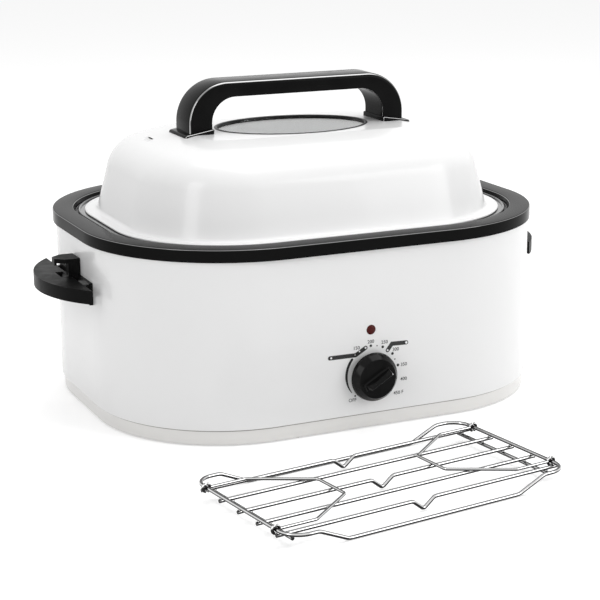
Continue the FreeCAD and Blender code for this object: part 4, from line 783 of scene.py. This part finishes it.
def knobBody():
    k = knob
    section = roundedLine([(k["centreRadius"], 0, 0), (k["hubRadius"], 0, k["hubBend"]),
                           (k["hubRadius"], k["hub"], 0), (k["radius"], k["hub"], k["skirtBend"]),
                           (k["radius"] - k["frontInset"], k["front"], k["frontBend"]),
                           (k["faceRadius"], k["face"], k["faceBend"])])
    section += [(k["faceRadius"] * ring, k["face"] - k["dish"] * (1 - ring * ring))
                for ring in k["dishRings"]]
    loops = [[knobPlace(r * math.cos(a), r * math.sin(a), out) for a in circleAngles(k["sides"])]
             for r, out in section]
    return loft("knobTurned", loops, caps=True, smoothAngle=40)


def knobBar():
    k = knob
    height = k["ridge"] - k["front"]
    loops = []
    for share, flare in k["barRows"]:
        inset = height * share * k["draft"]
        corner = k["barCorner"] - share * (k["barCorner"] - k["ridgeCorner"])
        outline = roundedLoop(k["barHalf"] - inset + flare, k["barWidth"] / 2 - inset + flare, corner,
                              arcSteps=5, runSteps=4)
        loops.append([knobPlace(x, y, k["front"] + height * share) for x, y in outline])
    return loft("knobBar", loops, caps=True, smoothAngle=40)


def controlKnob():
    pieces = joinPieces("controlKnob", [knobBody(), knobBar()])
    place(pieces, "knob", "black_phenolic", "control_knob")
    setMaterial(pieces, knobGloss)
    return pieces


pointer = {
    "width": 1.4, "proud": 0.3, "foot": 0.3, "noseFall": 0.4, "noseInset": 0.1, "length": 1.2, "sink": 0.2,
    "depth": 1.5,
}


def knobPointer():
    # a white line on the end of the bar, from the knob's face over the ridge
    p = pointer
    base, ridge = knob["face"] + p["foot"], knob["ridge"]
    footEnd, tip = (knob["barHalf"] - (out - knob["front"]) * knob["draft"] for out in (base, ridge))
    side = [(footEnd + p["proud"], base), (tip + p["proud"], ridge - p["noseFall"]),
            (tip - p["noseInset"], ridge), (tip - p["length"], ridge - p["sink"]),
            (tip - p["length"], ridge - p["depth"]), (footEnd - p["depth"], base)]
    loops = [[knobPlace(u, across, out) for u, out in side] for across in (-p["width"] / 2, p["width"] / 2)]
    return place(loft("knobPointer", loops, caps=True), "knob", "white_marking", "knob_pointer")


lens = {
    "height": 119, "sides": 40,
    # radius, depth behind the wall's face
    "section": [(0.3, -1.8), (2.3, -1.7), (4.2, -1.3), (5.2, -0.7), (5.8, 0), (4, 0.2), (4, 12), (0.3, 12)],
}


def indicatorLens():
    loops = [[(r * math.cos(a), frontWall + depth, lens["height"] + r * math.sin(a))
              for a in circleAngles(lens["sides"])] for r, depth in lens["section"]]
    piece = loft("indicatorLens", loops, caps=True, smoothAngle=40)
    return place(piece, "housing", "red_lens", "indicator_lens")


dialMarks = {
    "lift": 0.12, "thickness": 0.1,
    "figureHeight": 4.1, "capShare": 0.72, "figureWeight": 0.045,
    # word, x, z
    "words": [("150", -18.6, 99.3), ("200", -0.3, 104.7), ("250", 17.3, 102), ("300", 31.8, 91.6),
              ("350", 42.4, 72.2), ("400", 42.4, 54.7), ("450", 33.6, 38.8), ("F", 40.8, 39),
              ("OFF", -23.6, 37.6)],
    # x, z, radius
    "dots": [(-0.3, 99.9, 1.6), (15, 96.7, 1.65), (27.6, 87.1, 1.7), (34.8, 72.3, 1.7),
             (7.7, 99, 0.8), (30.8, 80, 0.8), (-20.2, 42.4, 1.1)],
    "arc": {"centre": (0.6, 66.4), "radius": 31.9, "start": 141, "end": 218, "width": 3, "tail": 0.9,
            "steps": 22, "taperFrom": 0.55},
    "bands": {"leftBand": [(-52.1, 91.5), (-19.5, 91.1), (-7, 98.3)],
              "rightBand": [(45.5, 98.2), (26.8, 98.9), (21.3, 91.9)]},
    "bandWidth": 5,
    # white spots on the bands
    "spots": [(-50.5, 91.5, 1.2), (-7, 98.3, 1.15), (-14.8, 95.0, 0.95), (-20.4, 91.5, 0.6),
              (45.5, 98.2, 1.5), (21.3, 91.9, 1.1)],
}


def wallPiece(name, outline, lift):
    # a thin flat piece on the housing's front
    front = frontWall - lift
    loops = [[(x, y, z) for x, z in outline] for y in (front + dialMarks["thickness"], front)]
    return loft(name, loops, caps=True)


def disc(name, x, z, radius, lift, sides=24):
    outline = [(x + radius * math.cos(a), z + radius * math.sin(a)) for a in circleAngles(sides)]
    return wallPiece(name, outline, lift)


def strokeOutline(line, halfWidths, endSteps=8, sharpest=0.3):
    # a stroke with round ends along a line, its half width given at each point
    left, right = [], []
    for i, (x, z) in enumerate(line):
        here = Vector((x, z))
        into = (here - Vector(line[i - 1])).normalized() if i else None
        out = (Vector(line[i + 1]) - here).normalized() if i < len(line) - 1 else None
        into, out = into or out, out or into
        normal = Vector((-into.y - out.y, into.x + out.x)).normalized()
        reach = halfWidths[i] / max(normal.dot(Vector((-out.y, out.x))), sharpest)
        left.append(tuple(here + normal * reach))
        right.append(tuple(here - normal * reach))
    ends = []
    for spot, inner, width in ((line[-1], line[-2], halfWidths[-1]), (line[0], line[1], halfWidths[0])):
        along = (Vector(spot) - Vector(inner)).normalized()
        normal = Vector((-along.y, along.x))
        ends.append([tuple(Vector(spot) + width * (normal * math.cos(a) + along * math.sin(a)))
                     for a in (math.pi * k / endSteps for k in range(1, endSteps))])
    return left + ends[0] + right[::-1] + ends[1]


def wordPiece(word, x, z):
    m = dialMarks
    text = bpy.data.curves.new("word", "FONT")
    text.body = word
    text.size = m["figureHeight"] / m["capShare"] * mm
    text.align_x = "CENTER"
    text.align_y = "CENTER"
    text.extrude = m["thickness"] / 2 * mm
    text.offset = m["figureWeight"] * mm
    text.resolution_u = 4
    holder = bpy.data.objects.new("dialWord_" + word, text)
    bpy.context.scene.collection.objects.link(holder)
    mesh = bpy.data.meshes.new_from_object(holder)
    bpy.data.objects.remove(holder)
    turn = Matrix.Rotation(math.pi / 2, 4, "X")
    middle = Vector((x, frontWall - m["lift"] + m["thickness"] / 2, z)) * mm
    mesh.transform(Matrix.Translation(middle) @ turn)
    piece = bpy.data.objects.new("dialWord_" + word, mesh)
    bpy.context.scene.collection.objects.link(piece)
    return piece


def offArc():
    arc = dialMarks["arc"]
    shares = [k / arc["steps"] for k in range(arc["steps"] + 1)]
    turns = [math.radians(arc["start"] + (arc["end"] - arc["start"]) * share) for share in shares]
    cx, cz = arc["centre"]
    line = [(cx + arc["radius"] * math.cos(a), cz + arc["radius"] * math.sin(a)) for a in turns]
    tapers = [max(0, share - arc["taperFrom"]) / (1 - arc["taperFrom"]) for share in shares]
    widths = [arc["width"] / 2 + (arc["tail"] - arc["width"]) / 2 * taper for taper in tapers]
    return wallPiece("offArc", strokeOutline(line, widths), dialMarks["lift"])


def dialPrint():
    m = dialMarks
    pieces = [wordPiece(*word) for word in m["words"]]
    pieces += [disc("dot", *dot, m["lift"]) for dot in m["dots"]]
    pieces.append(offArc())
    for name, line in m["bands"].items():
        pieces.append(wallPiece(name, strokeOutline(line, [m["bandWidth"] / 2] * len(line)), m["lift"]))
    ink = joinPieces("dialPrint", pieces)
    setMaterial(ink, dialInk)
    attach(ink, "housing")
    spots = [disc("bandHole", *spot, 2 * m["lift"]) for spot in m["spots"]]
    place(joinPieces("dialPrintHoles", spots), "housing", "white_marking")


sideHandle = {"edge": 0.9, "segments": 3, "sharperThan": 40}  # rounds every edge that turns by more


def sideHandles():
    for word in ("left", "right"):
        edges = frame["nodes"]["side_handle_" + word].modifiers.new("soft edges", "BEVEL")
        edges.width = sideHandle["edge"] * mm
        edges.segments = sideHandle["segments"]
        edges.limit_method = "ANGLE"
        edges.angle_limit = math.radians(sideHandle["sharperThan"])
        edges.harden_normals = True


controlKnob()
knobPointer()
indicatorLens()
dialPrint()
sideHandles()
print("controls and handles done")


rack = {
    "x": -77, "y": -402, "turn": 8.1, "half": 172.5, "wide": 96, "corner": 22, "height": 17,
    "footRun": 66, "ramp": 34, "bend": 16, "wire": 2.1, "overhang": 3, "spacing": 36.75, "crossInset": 12,
    "rods": range(-2, 3),  # counted from the middle one, and the odd ones are straight
    "dipWidth": 27, "dipClearance": 0.2, "dipBend": 8, "dipTipBend": 4,
    "endWeld": (2.2, 2.9, 1.5), "crossWeld": (2.8, 2.8, 1.3),
}
bail = {
    "wire": 1.7, "clearance": 0.35, "half": 68, "leg": 47, "reach": 109, "tip": 25, "bend": 6,
    "eyeSteps": 20,
}


def wire(name, path, radius, closed=False, sides=18, steep=0.95):
    # a round wire along a path, each section square to it
    count = len(path)
    loops = []
    across = Vector((0, 0, 1))  # upwards, or along X from where the path itself is steep
    for i, point in enumerate(path):
        before = path[i - 1] if closed or i else point
        after = path[(i + 1) % count] if closed or i < count - 1 else point
        along = (after - before).normalized()
        if abs(along.dot(across)) > steep:
            across = Vector((1, 0, 0))
        side = (across - along * along.dot(across)).normalized()
        up = along.cross(side)
        loops.append([point + radius * (side * math.cos(a) + up * math.sin(a))
                      for a in circleAngles(sides)])
    return loft(name, loops, ring=closed, caps=not closed, smoothAngle=60)


def weldBead(name, centre, radii, sides=10, rows=6):
    # an egg of weld metal, flat at its poles
    loops = []
    for row in range(1, rows):
        tilt = math.pi * row / rows
        loops.append([(centre[0] + radii[0] * math.sin(tilt) * math.cos(a),
                       centre[1] + radii[1] * math.sin(tilt) * math.sin(a),
                       centre[2] - radii[2] * math.cos(tilt)) for a in circleAngles(sides)])
    return loft(name, loops, caps=True, smoothAngle=70)


def placeOnRack(piece):
    turn = Matrix.Rotation(math.radians(rack["turn"]), 4, "Z")
    piece.data.transform(Matrix.Translation(Vector((rack["x"], rack["y"], 0)) * mm) @ turn)
    return piece


def rackFrame():
    r = rack
    half, wide, high, low = r["half"], r["wide"], r["height"], r["wire"]
    foot = half - r["footRun"]
    ramp = foot + r["ramp"]
    quarter = [(foot, low, r["bend"]), (ramp, high, r["bend"]), (half, high, r["corner"])]
    points = [(x, -wide, z, bend) for x, z, bend in quarter]
    points += [(x, wide, z, bend) for x, z, bend in quarter[::-1]]
    points += [(-x, wide, z, bend) for x, z, bend in quarter]
    points += [(-x, -wide, z, bend) for x, z, bend in quarter[::-1]]
    points = [(0, -wide, low, 0)] + points + [(0, -wide, low, 0)]
    pieces = [wire("rackLoop", bentPath(points)[:-1], r["wire"], closed=True)]
    for side in (-1, 1):
        for number in r["rods"]:
            y = number * r["spacing"]
            inner = side * (half - r["crossInset"])
            pieces.append(weldBead("weldEnd", (side * half, y, high - r["wire"]), r["endWeld"]))
            pieces.append(weldBead("weldCross", (inner, y, high - 3 * r["wire"]), r["crossWeld"]))
    return place(placeOnRack(joinPieces("rackFrame", pieces)), "rack", "chrome_wire", "rack_frame")


def rackRods():
    r = rack
    reach, height = r["half"] + r["overhang"], r["height"] - 2 * r["wire"]
    low, wide = r["wire"] + r["dipClearance"], r["dipWidth"] / 2
    dipped, straight, cross = [], [], []
    for number in r["rods"]:
        y = number * r["spacing"]
        if number % 2:
            path = [Vector((-reach, y, height)), Vector((reach, y, height))]
            straight.append(wire("straightRod", path, r["wire"]))
            continue
        path = bentPath([(-reach, y, height, 0), (-wide, y, height, r["dipBend"]),
                         (0, y, low, r["dipTipBend"]), (wide, y, height, r["dipBend"]),
                         (reach, y, height, 0)])
        dipped.append(wire("dippedRod", path, r["wire"]))
    span = r["rods"][-1] * r["spacing"] + 2 * r["overhang"]
    for side in (-1, 1):
        x, z = side * (r["half"] - r["crossInset"]), r["height"] - 4 * r["wire"]
        cross.append(wire("crossRod", [Vector((x, -span, z)), Vector((x, span, z))], r["wire"]))
    for name, pieces, node in (("straightRods", straight, "rack_straight_rods"),
                               ("dippedRods", dipped, "rack_dipped_rods"),
                               ("crossRods", cross, "rack_cross_rods")):
        place(placeOnRack(joinPieces(name, pieces)), "rack", "chrome_wire", node)


def rackBail(word, side):
    b = bail
    axis, z = side * rack["half"], rack["height"]
    ring = rack["wire"] + b["clearance"] + b["wire"]
    near, bendX, far = (axis - side * run for run in (ring, b["leg"], b["reach"]))
    points = [(near, -b["half"], z, 0), (bendX, -b["half"], z, b["bend"]), (far, -b["tip"], z, b["bend"]),
              (far, b["tip"], z, b["bend"]), (bendX, b["half"], z, b["bend"]), (near, b["half"], z, 0)]
    pieces = [wire("bailLoop", bentPath(points), b["wire"])]
    for y in (-b["half"], b["half"]):
        eye = [Vector((axis + ring * math.cos(a), y, z + ring * math.sin(a)))
               for a in circleAngles(b["eyeSteps"])]
        pieces.append(wire("bailEye", eye, b["wire"], closed=True))
    piece = placeOnRack(joinPieces("rackBail_" + word, pieces))
    return place(piece, "bail_" + word, "chrome_wire", "rack_bail_" + word)


rackFrame()
rackRods()
rackBail("left", -1)
rackBail("right", 1)
print("rack done")


shot = {
    "position": (-0.8612, -1.9515, 0.6592), "azimuth": -25.976, "elevation": 14.465, "clipEnd": 30,
    "focalPixels": 1756.8, "centre": (357.23, 294.61), "picture": 600, "sensor": 36,
}


def setCamera():
    data = bpy.data.cameras.new("camera")
    camera = bpy.data.objects.new("camera", data)
    bpy.context.scene.collection.objects.link(camera)
    a, e = math.radians(shot["azimuth"]), math.radians(shot["elevation"])
    back = Vector((math.sin(a) * math.cos(e), -math.cos(a) * math.cos(e), math.sin(e)))
    right = Vector((math.cos(a), math.sin(a), 0))
    up = back.cross(right)
    turn = Matrix((right, up, back)).transposed().to_4x4()
    camera.matrix_world = Matrix.Translation(shot["position"]) @ turn
    data.sensor_width = shot["sensor"]
    data.lens = shot["focalPixels"] / shot["picture"] * shot["sensor"]
    data.shift_x = (shot["picture"] / 2 - shot["centre"][0]) / shot["picture"]
    data.shift_y = (shot["centre"][1] - shot["picture"] / 2) / shot["picture"]
    data.clip_end = shot["clipEnd"]
    bpy.context.scene.camera = camera


studio = {
    "worldLight": 0.59,
    "floorHalf": 9000, "floorColor": 0.8, "floorGlow": 0.45,
    # name, place, aim, size, power
    "lamps": [
        ("overhead", (0.5, 0.3, 2.4), (0, 0, 0.1), (2.2, 2.0), 31),
        ("frontLeft", (-2.25, -1.15, 1.2), (-0.1, -0.1, 0.15), (0.7, 1.8), 10),
        ("frontRight", (1.9, -2.2, 1.3), (0.1, 0, 0.1), (1.6, 1.6), 22),
    ],
}


def directRays(tree):
    # 1 for rays that show the background: from the camera, mirrored or through glass
    paths = tree.nodes.new("ShaderNodeLightPath")
    total = paths.outputs["Is Camera Ray"]
    for kind in ("Is Glossy Ray", "Is Transmission Ray"):
        either = tree.nodes.new("ShaderNodeMath")
        either.operation = "MAXIMUM"
        tree.links.new(total, either.inputs[0])
        tree.links.new(paths.outputs[kind], either.inputs[1])
        total = either.outputs[0]
    return total


def setWorld():
    # pure white where it is seen, and plain light on the object
    world = bpy.data.worlds.new("studioWorld")
    bpy.context.scene.world = world
    world.use_nodes = True
    tree = world.node_tree
    background = tree.nodes["Background"]
    level = tree.nodes.new("ShaderNodeMapRange")
    level.inputs["To Min"].default_value = studio["worldLight"]
    level.inputs["To Max"].default_value = 1
    tree.links.new(directRays(tree), level.inputs["Value"])
    background.inputs["Color"].default_value = (1, 1, 1, 1)
    tree.links.new(level.outputs["Result"], background.inputs["Strength"])


def floorPaper():
    # white paper that glows a little where it is seen, so that it stays pale and keeps its shadows
    material = bpy.data.materials.new("floorPaper")
    material.use_nodes = True
    tree = material.node_tree
    tree.nodes.clear()
    output = tree.nodes.new("ShaderNodeOutputMaterial")
    paper = tree.nodes.new("ShaderNodeBsdfDiffuse")
    paper.inputs["Color"].default_value = (*grey(studio["floorColor"]), 1)
    strength = tree.nodes.new("ShaderNodeMath")
    strength.operation = "MULTIPLY"
    strength.inputs[1].default_value = studio["floorGlow"]
    tree.links.new(directRays(tree), strength.inputs[0])
    glow = tree.nodes.new("ShaderNodeEmission")
    tree.links.new(strength.outputs[0], glow.inputs["Strength"])
    both = tree.nodes.new("ShaderNodeAddShader")
    tree.links.new(paper.outputs[0], both.inputs[0])
    tree.links.new(glow.outputs[0], both.inputs[1])
    tree.links.new(both.outputs[0], output.inputs["Surface"])
    return material


def setFloor():
    half = studio["floorHalf"]
    corners = [(-half, -half, 0), (half, -half, 0), (half, half, 0), (-half, half, 0)]
    floor = makeObject("floor", corners, [(0, 1, 2, 3)])
    setMaterial(floor, floorPaper())


def setLamps():
    for name, position, aim, (width, height), power in studio["lamps"]:
        data = bpy.data.lights.new(name, "AREA")
        data.shape = "RECTANGLE"
        data.size, data.size_y = width, height
        data.energy = power
        lamp = bpy.data.objects.new(name, data)
        lamp.location = position
        lamp.rotation_euler = (Vector(aim) - Vector(position)).to_track_quat("-Z", "Y").to_euler()
        bpy.context.scene.collection.objects.link(lamp)


setCamera()
setWorld()
setFloor()
setLamps()
bpy.context.scene.view_settings.view_transform = "Standard"
print("camera and light set")
